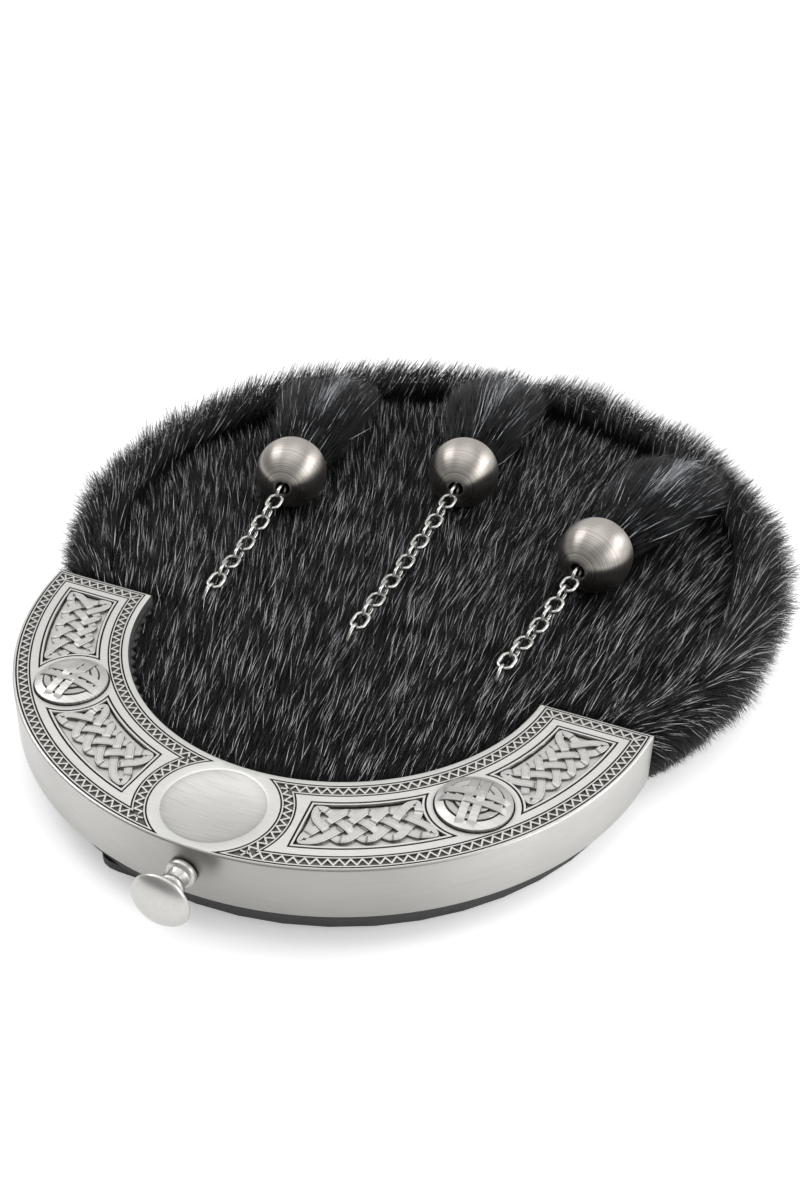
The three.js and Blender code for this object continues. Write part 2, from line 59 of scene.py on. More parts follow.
def perMm(size):
    return 1 / (size * mm)  # a texture scale that gives one feature in that many millimetres


def toLinear(hexColour):
    values = [int(hexColour[i:i + 2], 16) / 255 for i in (1, 3, 5)]
    return [v / 12.92 if v <= 0.04045 else ((v + 0.055) / 1.055) ** 2.4 for v in values] + [1]


def plug(tree, node, sources):
    for name, source in sources.items():
        tree.links.new(source, node.inputs[name])


def addNode(tree, kind, values=None, links=None, **options):
    node = tree.nodes.new(kind)
    for name, value in options.items():
        setattr(node, name, value)
    for name, value in (values or {}).items():
        node.inputs[name].default_value = value
    plug(tree, node, links or {})
    return node


def startMaterial(name, **surfaceValues):
    material = bpy.data.materials.new(name)
    material.use_nodes = True
    tree = material.node_tree
    surface = tree.nodes["Principled BSDF"]
    for key, value in surfaceValues.items():
        surface.inputs[key.replace("_", " ")].default_value = value
    return material, tree, surface


# Cast pewter, brushed and lacquered over a dark patina that stays in the recesses: a soft grey shine on all
# that stands proud, brown-black lines between. The brushing runs along the wall and slantwise over the face.
# The wall is painted duller beside the knob, most of all 18 mm right of it and no more 44 mm from there: a
# painted dark reflection of the dim room on the camera's side.
def makePewter(name, brushStretch, brushTurn, anisotropic, lowTone, highTone, darkReflection=0):
    material, tree, surface = startMaterial(name, Metallic=1, Anisotropic=anisotropic,
                                            Anisotropic_Rotation=0.25)
    place = addNode(tree, "ShaderNodeTexCoord").outputs["Object"]
    recess = addNode(tree, "ShaderNodeAttribute", attribute_name="recess").outputs["Fac"]
    stretched = addNode(tree, "ShaderNodeMapping", {"Scale": brushStretch, "Rotation": (0, 0, brushTurn)},
                        {"Vector": place})
    brushed = addNode(tree, "ShaderNodeTexNoise", {"Scale": perMm(0.25), "Detail": 4, "Roughness": 0.65},
                      {"Vector": stretched.outputs[0]})
    grain = addNode(tree, "ShaderNodeTexNoise", {"Scale": perMm(0.35), "Detail": 4}, {"Vector": place})
    cloud = addNode(tree, "ShaderNodeTexNoise", {"Scale": perMm(9), "Detail": 3}, {"Vector": place})
    uneven = addNode(tree, "ShaderNodeMath", {1: 0.5}, {0: brushed.outputs["Fac"]}, operation="SUBTRACT")
    worn = addNode(tree, "ShaderNodeMath", {1: 0.5}, {0: uneven.outputs[0], 2: recess},
                   operation="MULTIPLY_ADD")
    dark = addNode(tree, "ShaderNodeMapRange", {"From Min": 0.12, "From Max": 0.95},
                   {"Value": worn.outputs[0]}, interpolation_type="SMOOTHSTEP")
    lines = addNode(tree, "ShaderNodeMapRange", {"From Min": 0.3, "From Max": 0.7},
                    {"Value": brushed.outputs["Fac"]})
    bare = addNode(tree, "ShaderNodeMix", {"A": toLinear(lowTone), "B": toLinear(highTone)},
                   {"Factor": lines.outputs[0]}, data_type="RGBA")
    clean = addNode(tree, "ShaderNodeMix", {"A": toLinear(lowTone)},
                    {"Factor": cloud.outputs["Fac"], "B": bare.outputs["Result"]}, data_type="RGBA")
    # Painted reflection: a dull taupe patch on the wall beside the knob
    besideKnob = addNode(tree, "ShaderNodeMapping", {"Location": (-0.47, 0, 0), "Scale": (26, 0, 0)},
                         {"Vector": place})
    near = addNode(tree, "ShaderNodeVectorMath", links={0: besideKnob.outputs[0]}, operation="LENGTH")
    darkReflectionShare = addNode(tree, "ShaderNodeMapRange",
                      {"From Min": 0.5, "From Max": 1.15, "To Min": darkReflection, "To Max": 0},
                      {"Value": near.outputs["Value"]}, interpolation_type="SMOOTHSTEP")
    toned = addNode(tree, "ShaderNodeMix", {"B": toLinear("#8C8A86")},
                    {"Factor": darkReflectionShare.outputs[0], "A": clean.outputs["Result"]}, data_type="RGBA")
    # The dark is patina, and in the thumb dish painted shade
    colour = addNode(tree, "ShaderNodeMix", {"B": toLinear("#30261D")},
                     {"Factor": dark.outputs[0], "A": toned.outputs["Result"]}, data_type="RGBA")
    rough = addNode(tree, "ShaderNodeMapRange", {"From Min": 0, "From Max": 1, "To Min": 0.36, "To Max": 0.6},
                    {"Value": dark.outputs[0]})
    low = addNode(tree, "ShaderNodeBump", {"Strength": 0.25, "Distance": 0.03 * mm},
                  {"Height": brushed.outputs["Fac"]})
    fine = addNode(tree, "ShaderNodeBump", {"Strength": 0.15, "Distance": 0.03 * mm},
                   {"Height": grain.outputs["Fac"], "Normal": low.outputs[0]})
    around = addNode(tree, "ShaderNodeTangent", direction_type="RADIAL", axis="Z")
    plug(tree, surface, {"Base Color": colour.outputs["Result"], "Roughness": rough.outputs[0],
                         "Normal": fine.outputs[0], "Tangent": around.outputs[0]})
    return material


# Spun brass, plated dark and brushed on the lathe: fine rings round the axis, warm grey with long highlights.
def makeTurnedMetal():
    material, tree, surface = startMaterial("Turned metal, antique nickel plate, brushed", Metallic=1,
                                            Anisotropic=0.75, Anisotropic_Rotation=0.25)
    along = addNode(tree, "ShaderNodeAttribute", attribute_name="turned").outputs["Fac"]
    rings = addNode(tree, "ShaderNodeTexNoise", {"Scale": 4.5, "Detail": 3, "Roughness": 0.7}, {"W": along},
                    noise_dimensions="1D")
    tone = addNode(tree, "ShaderNodeMapRange", {"From Min": 0.3, "From Max": 0.7},
                   {"Value": rings.outputs["Fac"]})
    place = addNode(tree, "ShaderNodeTexCoord").outputs["Object"]
    grain = addNode(tree, "ShaderNodeTexNoise", {"Scale": perMm(1.2), "Detail": 3}, {"Vector": place})
    colour = addNode(tree, "ShaderNodeMix", {"A": toLinear("#8A847E"), "B": toLinear("#C2BDB7")},
                     {"Factor": tone.outputs[0]}, data_type="RGBA")
    rough = addNode(tree, "ShaderNodeMapRange", {"To Min": 0.3, "To Max": 0.42},
                    {"Value": grain.outputs["Fac"]})
    around = addNode(tree, "ShaderNodeAttribute", attribute_name="spinTangent")
    bump = addNode(tree, "ShaderNodeBump", {"Strength": 0.5, "Distance": 0.02 * mm},
                   {"Height": rings.outputs["Fac"]})
    plug(tree, surface, {"Base Color": colour.outputs["Result"], "Roughness": rough.outputs[0],
                         "Normal": bump.outputs[0], "Tangent": around.outputs["Vector"]})
    return material


# Bright nickel-plated steel wire: sharp small highlights with dark between.
def makeWire():
    material, tree, surface = startMaterial("Steel wire, nickel plated", Metallic=1)
    place = addNode(tree, "ShaderNodeTexCoord").outputs["Object"]
    spots = addNode(tree, "ShaderNodeTexNoise", {"Scale": perMm(0.9), "Detail": 3}, {"Vector": place})
    colour = addNode(tree, "ShaderNodeMix", {"A": toLinear("#8E8D8A"), "B": toLinear("#D2D1CE")},
                     {"Factor": spots.outputs["Fac"]}, data_type="RGBA")
    rough = addNode(tree, "ShaderNodeMapRange", {"To Min": 0.14, "To Max": 0.3},
                    {"Value": spots.outputs["Fac"]})
    plug(tree, surface, {"Base Color": colour.outputs["Result"], "Roughness": rough.outputs[0]})
    return material


# Dyed black fur. Each hair is smooth keratin, so it is near black with a thin bright glint along it. Hairs
# marked as glints are painted grey to white: painted highlights.
def makeHair(name, rootHex, tipHex, glintHex, roughness):
    material, tree, surface = startMaterial(name, Roughness=roughness, IOR=1.5, Specular_IOR_Level=0.12)
    along = addNode(tree, "ShaderNodeAttribute", attribute_name="along").outputs["Fac"]
    glint = addNode(tree, "ShaderNodeAttribute", attribute_name="glint").outputs["Fac"]
    body = addNode(tree, "ShaderNodeMix", {"A": toLinear(rootHex), "B": toLinear(tipHex)}, {"Factor": along},
                   data_type="RGBA")
    # Hairs marked as glints get the pale colour: a painted highlight
    colour = addNode(tree, "ShaderNodeMix", {"B": toLinear(glintHex)},
                     {"Factor": glint, "A": body.outputs["Result"]}, data_type="RGBA")
    plug(tree, surface, {"Base Color": colour.outputs["Result"]})
    return material


# The dense underfur against the hide, too fine to show as hairs: matt black with a felted bump.
def makeUnderfur():
    material, tree, surface = startMaterial("Underfur, dense and matt", Roughness=0.9,
                                            Specular_IOR_Level=0.15)
    place = addNode(tree, "ShaderNodeTexCoord").outputs["Object"]
    felt = addNode(tree, "ShaderNodeTexNoise", {"Scale": perMm(0.6), "Detail": 5}, {"Vector": place})
    colour = addNode(tree, "ShaderNodeMix", {"A": toLinear("#040404"), "B": toLinear("#0C0C0D")},
                     {"Factor": felt.outputs["Fac"]}, data_type="RGBA")
    bump = addNode(tree, "ShaderNodeBump", {"Strength": 0.8, "Distance": 0.6 * mm},
                   {"Height": felt.outputs["Fac"]})
    plug(tree, surface, {"Base Color": colour.outputs["Result"], "Normal": bump.outputs[0]})
    return material


# Smooth black calf leather with a pressed pebble grain 0.7 mm wide and a low waxed shine.
def makeLeather():
    material, tree, surface = startMaterial("Calf leather, black, fine grain", Roughness=0.5)
    place = addNode(tree, "ShaderNodeTexCoord").outputs["Object"]
    pebble = addNode(tree, "ShaderNodeTexVoronoi", {"Scale": perMm(0.7), "Smoothness": 0.6},
                     {"Vector": place}, feature="SMOOTH_F1")
    cloud = addNode(tree, "ShaderNodeTexNoise", {"Scale": perMm(6), "Detail": 4}, {"Vector": place})
    colour = addNode(tree, "ShaderNodeMix", {"A": toLinear("#161616"), "B": toLinear("#2B2B2C")},
                     {"Factor": cloud.outputs["Fac"]}, data_type="RGBA")
    rough = addNode(tree, "ShaderNodeMapRange", {"To Min": 0.42, "To Max": 0.62},
                    {"Value": cloud.outputs["Fac"]})
    bump = addNode(tree, "ShaderNodeBump", {"Strength": 0.5, "Distance": 0.12 * mm},
                   {"Height": pebble.outputs["Distance"]})
    plug(tree, surface, {"Base Color": colour.outputs["Result"], "Roughness": rough.outputs[0],
                         "Normal": bump.outputs[0]})
    return material


pewter = makePewter("Cast pewter, brushed, antique patina", (0.04, 1, 0.04), math.radians(-28), 0, "#CAC9C6",
                    "#E0E0DE")
# The wall has the face's pewter in darker tones: painted shade on the casting's side.
wallPewter = makePewter("Cast pewter, brushed along the wall", (0.02, 0.02, 1), 0, 0.55, "#ACABA8", "#C1C0BE",
                        darkReflection=0.62)
knobPewter = makePewter("Turned pewter, satin", (0.3, 1, 0.3), 0, 0, "#B2B1AE", "#C4C3C0")
turnedMetal = makeTurnedMetal()
wireSteel = makeWire()
# Each fur's third colour is its painted glint
shortFur = makeHair("Short fur, dyed black", "#020202", "#09090A", "#D6D7D9", 0.34)
tasselFur = makeHair("Tassel fur, dyed black, long guard hairs", "#020202", "#080809", "#D4D8DE", 0.34)
underfur = makeUnderfur()
leather = makeLeather()
print("materials made")


def smoothstep(value, low, high):
    t = np.clip((value - low) / (high - low), 0, 1)
    return t * t * (3 - 2 * t)


def finishPiece(piece, material, slot, *nodes):
    piece.data.materials.clear()
    piece.data.materials.append(material)
    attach(piece, "root")
    if nodes:
        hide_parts(*nodes)
    print(piece.name, len(piece.data.polygons), "faces")


def deselectAll():
    if bpy.context.object and bpy.context.object.mode != "OBJECT":
        bpy.ops.object.mode_set(mode="OBJECT")
    bpy.ops.object.select_all(action="DESELECT")


def activate(piece):
    deselectAll()
    bpy.context.view_layer.objects.active = piece
    piece.select_set(True)


def smooth(piece, degrees=35):
    activate(piece)
    bpy.ops.object.shade_smooth_by_angle(angle=math.radians(degrees))


def addObject(name, data):
    thing = bpy.data.objects.new(name, data)
    bpy.context.scene.collection.objects.link(thing)
    return thing


# The cantle's face is drawn as closed outlines, each a set distance in from the plate's edges, and swept with
# a profile of heights: the moulded borders follow every edge with mitred corners.
cantle = {
    "innerR": 49.9,
    "endY": -3.3,
    "faceWall": 2.4,
    "sideWall": 1.8,
    "edgeIn": {"outer": 0.5, "end": 0.5, "inner": 0.4, "disc": 0},
    "borderStart": {"outer": 0.66, "end": 0.66, "inner": 1.4, "disc": 0.25},
    "disc": {"y": -62.9, "r": 13.3, "dishR": 11.2, "dishDepth": 1.1},
    "panel": {"inner": 56.3, "outer": 70.2, "endIn": 5.6},
    "panelDiscSide": {"low": (18.8, -66.6), "high": (17.5, -53.7)},
    "boss": {"angle": 40.1, "radius": 63.2, "r": 8.5, "height": 2.2, "edgeHeight": 0.35, "landR": 9.75},
    "zigzagPitch": {"outer": 2.3, "end": 2.2, "inner": 2.25, "disc": 2.15},
}

# The border's profile: distance in from where the border starts, height from the face, share of dark patina.
borderProfile = [
    (0, 0, 0), (0.06, -0.3, 1), (0.32, -0.3, 1), (0.38, 0, 0.1), (0.66, 0, 0.1), (0.74, -0.42, 0.85),
    (0.98, -0.42, 0.74), (2.42, -0.42, 0.74), (2.66, -0.42, 0.85), (2.74, 0, 0.1), (3.0, 0, 0.1),
    (3.06, -0.3, 1), (3.32, -0.3, 1), (3.38, 0, 0),
]
# The same for a sunken panel, in from its outline: a thin line, a lip and the ground.
panelProfile = [
    (0, 0, 0), (0.07, -0.3, 1), (0.38, -0.3, 1), (0.45, 0, 0.1), (0.88, 0, 0), (1.02, -0.75, 1),
    (1.18, -0.75, 0.8), (1.5, -0.75, 0.36),
]


def polar(radius, degrees):
    return Vector((radius * math.cos(math.radians(degrees)), radius * math.sin(math.radians(degrees))))


def crossCircle(radius, centre, otherRadius, towards):
    # Where a circle about the origin meets another circle, on the side of a given point
    apart = centre.length
    along = (radius ** 2 - otherRadius ** 2 + apart ** 2) / (2 * apart)
    half = math.sqrt(max(radius ** 2 - along ** 2, 0))
    axis = centre / apart
    side = Vector((-axis.y, axis.x))
    found = [axis * along + side * half, axis * along - side * half]
    return min(found, key=lambda point: (point - towards).length)


def crossLine(radius, start, direction, towards):
    # The same for a straight line
    middle = start.dot(direction)
    half = math.sqrt(max(radius ** 2 - (start - direction * middle).length ** 2, 0))
    found = [start + direction * (-middle + half), start + direction * (-middle - half)]
    return min(found, key=lambda point: (point - towards).length)


def sidePoint(first, last, centre, share):
    # A point on the arc about the centre, or on the straight line where there is none
    if centre is None:
        return first.lerp(last, share)
    startTurn = math.atan2(first.y - centre.y, first.x - centre.x)
    endTurn = math.atan2(last.y - centre.y, last.x - centre.x)
    sweep = (endTurn - startTurn + math.pi) % (2 * math.pi) - math.pi
    radius = (first - centre).length * (1 - share) + (last - centre).length * share
    turn = startTurn + sweep * share
    return centre + Vector((math.cos(turn), math.sin(turn))) * radius


origin = Vector((0, 0))
discCentre = Vector((0, cantle["disc"]["y"]))
bossCentre = polar(cantle["boss"]["radius"], -cantle["boss"]["angle"])
sideNames = ["outer", "end", "inner", "disc"]
sideSteps = {"outer": 110, "end": 16, "inner": 76, "disc": 30}


def plateSides(inward):
    # The four sides of the right-hand plate as (first, last, centre), each that far in from its edge
    outerR = cantleOuterR - inward["outer"]
    innerR = cantle["innerR"] + inward["inner"]
    discR = cantle["disc"]["r"] + inward["disc"]
    endY = cantle["endY"] - inward["end"]
    right = Vector((1, 0))
    lowCorner = crossCircle(outerR, discCentre, discR, Vector((20, -76)))
    endCorner = crossLine(outerR, Vector((0, endY)), right, Vector((76, endY)))
    innerCorner = crossLine(innerR, Vector((0, endY)), right, Vector((50, endY)))
    discCorner = crossCircle(innerR, discCentre, discR, Vector((20, -50)))
    return {
        "outer": (lowCorner, endCorner, origin),
        "end": (endCorner, innerCorner, None),
        "inner": (innerCorner, discCorner, origin),
        "disc": (discCorner, lowCorner, discCentre),
    }


def endPanelSides(inward):
    # The same four sides for the panel between the boss and the cantle's end
    panel, boss = cantle["panel"], cantle["boss"]
    outerR, innerR, landR = panel["outer"] - inward, panel["inner"] + inward, boss["landR"] + inward
    endY = cantle["endY"] - panel["endIn"] - inward
    right = Vector((1, 0))
    low = crossCircle(outerR, bossCentre, landR, Vector((70, 0)))
    high = crossCircle(innerR, bossCentre, landR, Vector((60, 0)))
    endOuter = crossLine(outerR, Vector((0, endY)), right, Vector((70, endY)))
    endInner = crossLine(innerR, Vector((0, endY)), right, Vector((56, endY)))
    return {
        "outer": (low, endOuter, origin),
        "end": (endOuter, endInner, None),
        "inner": (endInner, high, origin),
        "disc": (high, low, bossCentre),
    }


def innerPanelSides(inward):
    # And for the panel between the thumb dish and the boss
    panel, boss = cantle["panel"], cantle["boss"]
    outerR, innerR, landR = panel["outer"] - inward, panel["inner"] + inward, boss["landR"] + inward
    start, finish = Vector(cantle["panelDiscSide"]["low"]), Vector(cantle["panelDiscSide"]["high"])
    direction = (finish - start).normalized()
    start = start + Vector((direction.y, -direction.x)) * inward
    outerDisc = crossLine(outerR, start, direction, start)
    innerDisc = crossLine(innerR, start, direction, start + direction * 13)
    outerBoss = crossCircle(outerR, bossCentre, landR, Vector((20, -66)))
    innerBoss = crossCircle(innerR, bossCentre, landR, Vector((20, -54)))
    return {
        "outer": (outerDisc, outerBoss, origin),
        "end": (outerBoss, innerBoss, bossCentre),
        "inner": (innerBoss, innerDisc, origin),
        "disc": (innerDisc, outerDisc, None),
    }


def outline(sides, steps):
    return [sidePoint(*sides[name], i / steps[name]) for name in sideNames for i in range(steps[name])]


def startRelief():
    shape = bmesh.new()
    shape.verts.layers.float.new("recess")  # the share of dark patina, and in the thumb dish of painted shade, which the pewter reads
    return shape


def finishRelief(name, shape):
    bmesh.ops.recalc_face_normals(shape, faces=shape.faces)
    mesh = bpy.data.meshes.new(name)
    shape.to_mesh(mesh)
    shape.free()
    return addObject(name, mesh)


def addRing(shape, points, height, recess, hand):
    layer = shape.verts.layers.float["recess"]
    ring = []
    for point in points:
        vert = shape.verts.new(toMetres(hand * point.x, point.y, faceZ + height))
        vert[layer] = recess
        ring.append(vert)
    return ring


def bridgeRings(shape, first, second, closed=True):
    count = len(first)
    for i in range(count if closed else count - 1):
        k = (i + 1) % count
        shape.faces.new((first[i], first[k], second[k], second[i]))


def bridgeAll(shape, rings):
    for first, second in zip(rings, rings[1:]):
        bridgeRings(shape, first, second)


def ringEdges(shape, ring):
    return [shape.edges.get(pair) or shape.edges.new(pair) for pair in zip(ring, ring[1:] + ring[:1])]


def fillBetween(shape, edges):
    bmesh.ops.triangle_fill(shape, use_beauty=True, use_dissolve=False, edges=edges)


def sweepProfile(shape, sidesAt, steps, profile, hand, scale):
    rings = [addRing(shape, outline(sidesAt(scale(inward)), steps), height, recess, hand)
             for inward, height, recess in profile]
    bridgeAll(shape, rings)
    return rings


def circlePoints(centre, radius, count):
    return [centre + polar(radius, 360 * i / count) for i in range(count)]


# The boss: its outline and groove as distance in from its edge, height (none where it follows the dome) and
# patina, then its dome's rings, with the ground cut down between the straps.
bossRelief = {
    "points": 64,
    "edge": ((0, 0, 0.4), (0.12, -0.3, 0.9), (0.26, -0.3, 0.9), (0.4, None, 0.38)),
    "rings": (7.4, 6.8, 6.35, 6.15, 5, 4.3, 3, 1.5, 0.6),
    "cutFrom": 6.2,
    "cut": 0.35,
    "patina": {"proud": 0.38, "cut": 0.75},
}


def buildBoss(shape, hand):
    radius = cantle["boss"]["r"]
    rings = []
    for inward, height, recess in bossRelief["edge"]:
        height = bossHeight(radius - 0.5) if height is None else height
        points = circlePoints(bossCentre, radius - inward, bossRelief["points"])
        rings.append(addRing(shape, points, height, recess, hand))
    for ringR in bossRelief["rings"]:
        cut = bossRelief["cut"] if ringR < bossRelief["cutFrom"] else 0
        recess = bossRelief["patina"]["cut" if cut else "proud"]
        points = circlePoints(bossCentre, ringR, bossRelief["points"])
        rings.append(addRing(shape, points, bossHeight(ringR) - cut, recess, hand))
    bridgeAll(shape, rings)
    shape.faces.new(rings[-1])
    return rings[0]


def buildFacePlate():
    shape = startRelief()
    edgeIn, start = cantle["edgeIn"], cantle["borderStart"]
    boundary = {}
    for hand in (1, -1):
        edge = addRing(shape, outline(plateSides(edgeIn), sideSteps), 0, 0, hand)
        border = sweepProfile(shape, plateSides, sideSteps, borderProfile, hand,
                              lambda inward: {name: start[name] + inward for name in sideNames})
        bridgeRings(shape, edge, border[0])
        frames = []
        for sidesAt, steps in ((endPanelSides, {"outer": 36, "end": 14, "inner": 30, "disc": 16}),
                               (innerPanelSides, {"outer": 36, "end": 16, "inner": 30, "disc": 14})):
            rings = sweepProfile(shape, sidesAt, steps, panelProfile, hand, lambda inward: inward)
            frames += ringEdges(shape, rings[0])
            fillBetween(shape, ringEdges(shape, rings[-1]))
        bossEdge = buildBoss(shape, hand)
        fillBetween(shape, ringEdges(shape, border[-1]) + frames + ringEdges(shape, bossEdge))
        boundary[hand] = edge
    skirt(shape)
    buildDish(shape, boundary)
    bmesh.ops.remove_doubles(shape, verts=shape.verts, dist=0.004 * mm)
    return finishRelief("cantle_face", shape)


def bossHeight(radius):
    boss = cantle["boss"]
    return boss["edgeHeight"] + (boss["height"] - boss["edgeHeight"]) * (1 - (radius / boss["r"]) ** 2) ** 0.8


def openOutline(inward):
    # The whole face's outline without the two disc sides: right plate, middle line, left plate, middle line
    sides = plateSides(inward)
    right = outline(sides, sideSteps)[:sideSteps["outer"] + sideSteps["end"] + sideSteps["inner"] + 1]
    left = [Vector((-point.x, point.y)) for point in reversed(right)]
    innerMiddle = Vector((0, -cantle["innerR"] - inward["inner"]))
    outerMiddle = Vector((0, -cantleOuterR + inward["outer"]))
    return right + [innerMiddle] + left + [outerMiddle]


def skirt(shape):
    # The face's edge: rounded over inside the arc, then down to the plate's underside, which closes it
    edgeIn = cantle["edgeIn"]
    depths = [(edgeIn["inner"], 0, 0), (0.12, -0.12, 0), (0, -0.4, 0), (0, -cantle["faceWall"], 0.2)]
    rings = [addRing(shape, openOutline(dict(edgeIn, inner=inner)), height, recess, 1)
             for inner, height, recess in depths]
    bridgeAll(shape, rings)
    fillBetween(shape, ringEdges(shape, rings[-1]))


def buildDish(shape, boundary):
    # The round land between the two plates, with a thumb dish whose rim holds a little patina. The dish is
    # painted darker all over and most of all near its rim: painted shade in the hollow.
    disc = cantle["disc"]
    discStart = sideSteps["outer"] + sideSteps["end"] + sideSteps["inner"]
    right = [vert.co.copy() for vert in boundary[1][discStart:]] + [boundary[1][0].co.copy()]
    left = [Vector((-place.x, place.y, place.z)) for place in reversed(right)]
    outerMiddle = toMetres(0, -cantleOuterR + cantle["edgeIn"]["outer"], faceZ)
    innerMiddle = toMetres(0, -cantle["innerR"] - cantle["edgeIn"]["inner"], faceZ)
    land = [shape.verts.new(place) for place in right + [outerMiddle] + left + [innerMiddle]]
    rim = [addRing(shape, circlePoints(discCentre, disc["dishR"] + 0.25, 72), 0, 0, 1)]
    for share in (1, 0.97, 0.92, 0.84, 0.72, 0.56, 0.38, 0.18):
        height = -disc["dishDepth"] * (1 - share ** 2.2) - 0.04
        # Painted shade: the dish darker all over, darkest by its rim
        recess = 0.36 + 0.16 * share ** 10 if share < 1 else 0.1
        rim.append(addRing(shape, circlePoints(discCentre, disc["dishR"] * share, 72), height, recess, 1))
    bridgeAll(shape, rim)
    shape.faces.new(rim[-1])
    fillBetween(shape, ringEdges(shape, land) + ringEdges(shape, rim[0]))


# The cantle's wall: a rounded strip round the outer arc and both ends, open towards the pouch.
def buildCantleWall():
    shape = startRelief()
    depth, wall = cantleDepth, cantle["sideWall"]
    section = [(0.5, 0), (0.25, -0.07), (0.07, -0.25), (0, -0.5), (0, -depth + 0.6), (0.18, -depth + 0.18),
               (0.6, -depth), (wall - 0.3, -depth), (wall, -depth + 0.3), (wall, -2.2), (0.5, -0.6)]
    steps = dict(sideSteps, outer=150)
    rows = []
    for inward, height in section:
        sides = plateSides({"outer": inward, "end": inward, "inner": 0, "disc": 0})
        corner = sides["outer"][1]
        bottom = Vector((0, -cantleOuterR + inward))
        right = [sidePoint(bottom, corner, origin, i / steps["outer"]) for i in range(steps["outer"] + 1)]
        end = [corner.lerp(sides["end"][1], i / steps["end"]) for i in range(1, steps["end"] + 1)]
        half = right + end
        whole = [Vector((-point.x, point.y)) for point in reversed(half[1:])] + half
        rows.append(addRing(shape, whole, height, 0, 1))
    for i, row in enumerate(rows):
        bridgeRings(shape, row, rows[(i + 1) % len(rows)], closed=False)
    shape.faces.new([row[0] for row in rows])
    shape.faces.new([row[-1] for row in rows])
    return finishRelief("cantle_wall", shape)


def sweepStrip(shape, path, section, closed, ticks=None):
    # Sweeps a section of (sideways, up, recess) along a path in millimetres, mitred in plan
    layer = shape.verts.layers.float["recess"]
    count = len(path)
    rings = []
    for i, point in enumerate(path):
        before = path[i - 1] if closed or i > 0 else point
        after = path[(i + 1) % count] if closed or i < count - 1 else point
        into = Vector((point.x - before.x, point.y - before.y))
        out = Vector((after.x - point.x, after.y - point.y))
        into = out.normalized() if into.length < 1e-6 else into.normalized()
        out = into if out.length < 1e-6 else out.normalized()
        along = (into + out).normalized() if (into + out).length > 1e-3 else into
        side = Vector((along.y, -along.x))
        stretch = min(1 / max(abs(along.dot(out)), 0.1), 2.4)
        ring = []
        for sideways, up, recess in section:
            place = Vector((point.x, point.y)) + side * sideways * stretch
            vert = shape.verts.new(toMetres(place.x, place.y, point.z + up))
            vert[layer] = max(recess, ticks[i]) if ticks else recess
            ring.append(vert)
        rings.append(ring)
    bridgeAll(shape, rings + rings[:1] if closed else rings)
    if not closed:
        shape.faces.new(rings[0])
        shape.faces.new(list(reversed(rings[-1])))


def handed(points, hand):
    return [Vector((hand * point.x, point.y, point.z)) for point in points]


def nearestOn(side, point):
    # The point straight across from another one, on a side given as (first, last, centre)
    first, last, centre = side
    if centre is None:
        direction = (last - first).normalized()
        return first + direction * (point - first).dot(direction)
    return centre + (point - centre).normalized() * (first - centre).length


# Thin raised zigzags, one along each side of each plate: how far in from the border's start their outer
# points, middle line and inner points lie, how far they stand up, and their section.
zigzag = {
    "low": 0.9,
    "middle": 1.7,
    "high": 2.5,
    "rise": 0.36,
    "ridge": [(-0.25, -0.3, 0.8), (-0.18, 0.36, 0), (0.18, 0.36, 0), (0.25, -0.3, 0.8)],
}


def buildZigzags():
    shape = startRelief()
    low, middle, high = (plateSides({name: cantle["borderStart"][name] + zigzag[line] for name in sideNames})
                         for line in ("low", "middle", "high"))
    for name in sideNames:
        places = [sidePoint(*middle[name], i / 20) for i in range(21)]
        length = sum((b - a).length for a, b in zip(places, places[1:]))
        teeth = round(length / cantle["zigzagPitch"][name])
        points = []
        for i in range(2 * teeth + 1):
            flat = nearestOn((high if i % 2 else low)[name], sidePoint(*middle[name], i / (2 * teeth)))
            points.append(Vector((flat.x, flat.y, faceZ - zigzag["rise"])))
        for hand in (1, -1):
            sweepStrip(shape, handed(points, hand), zigzag["ridge"], closed=False)
    return finishRelief("cantle_zigzag", shape)


# The panels' plait: its crossings along and across, the strap's width, its heights, its depth, and its
# distance from the panel's lip. finePoints is the number of points from one crossing to the next.
knot = {
    "along": 5,
    "across": 2,
    "width": 1.86,
    "over": 0.0,
    "under": -0.26,
    "depth": -0.9,
    "finePoints": 7,
    "margin": 0.95,
    "tickPatina": 0.7,
}


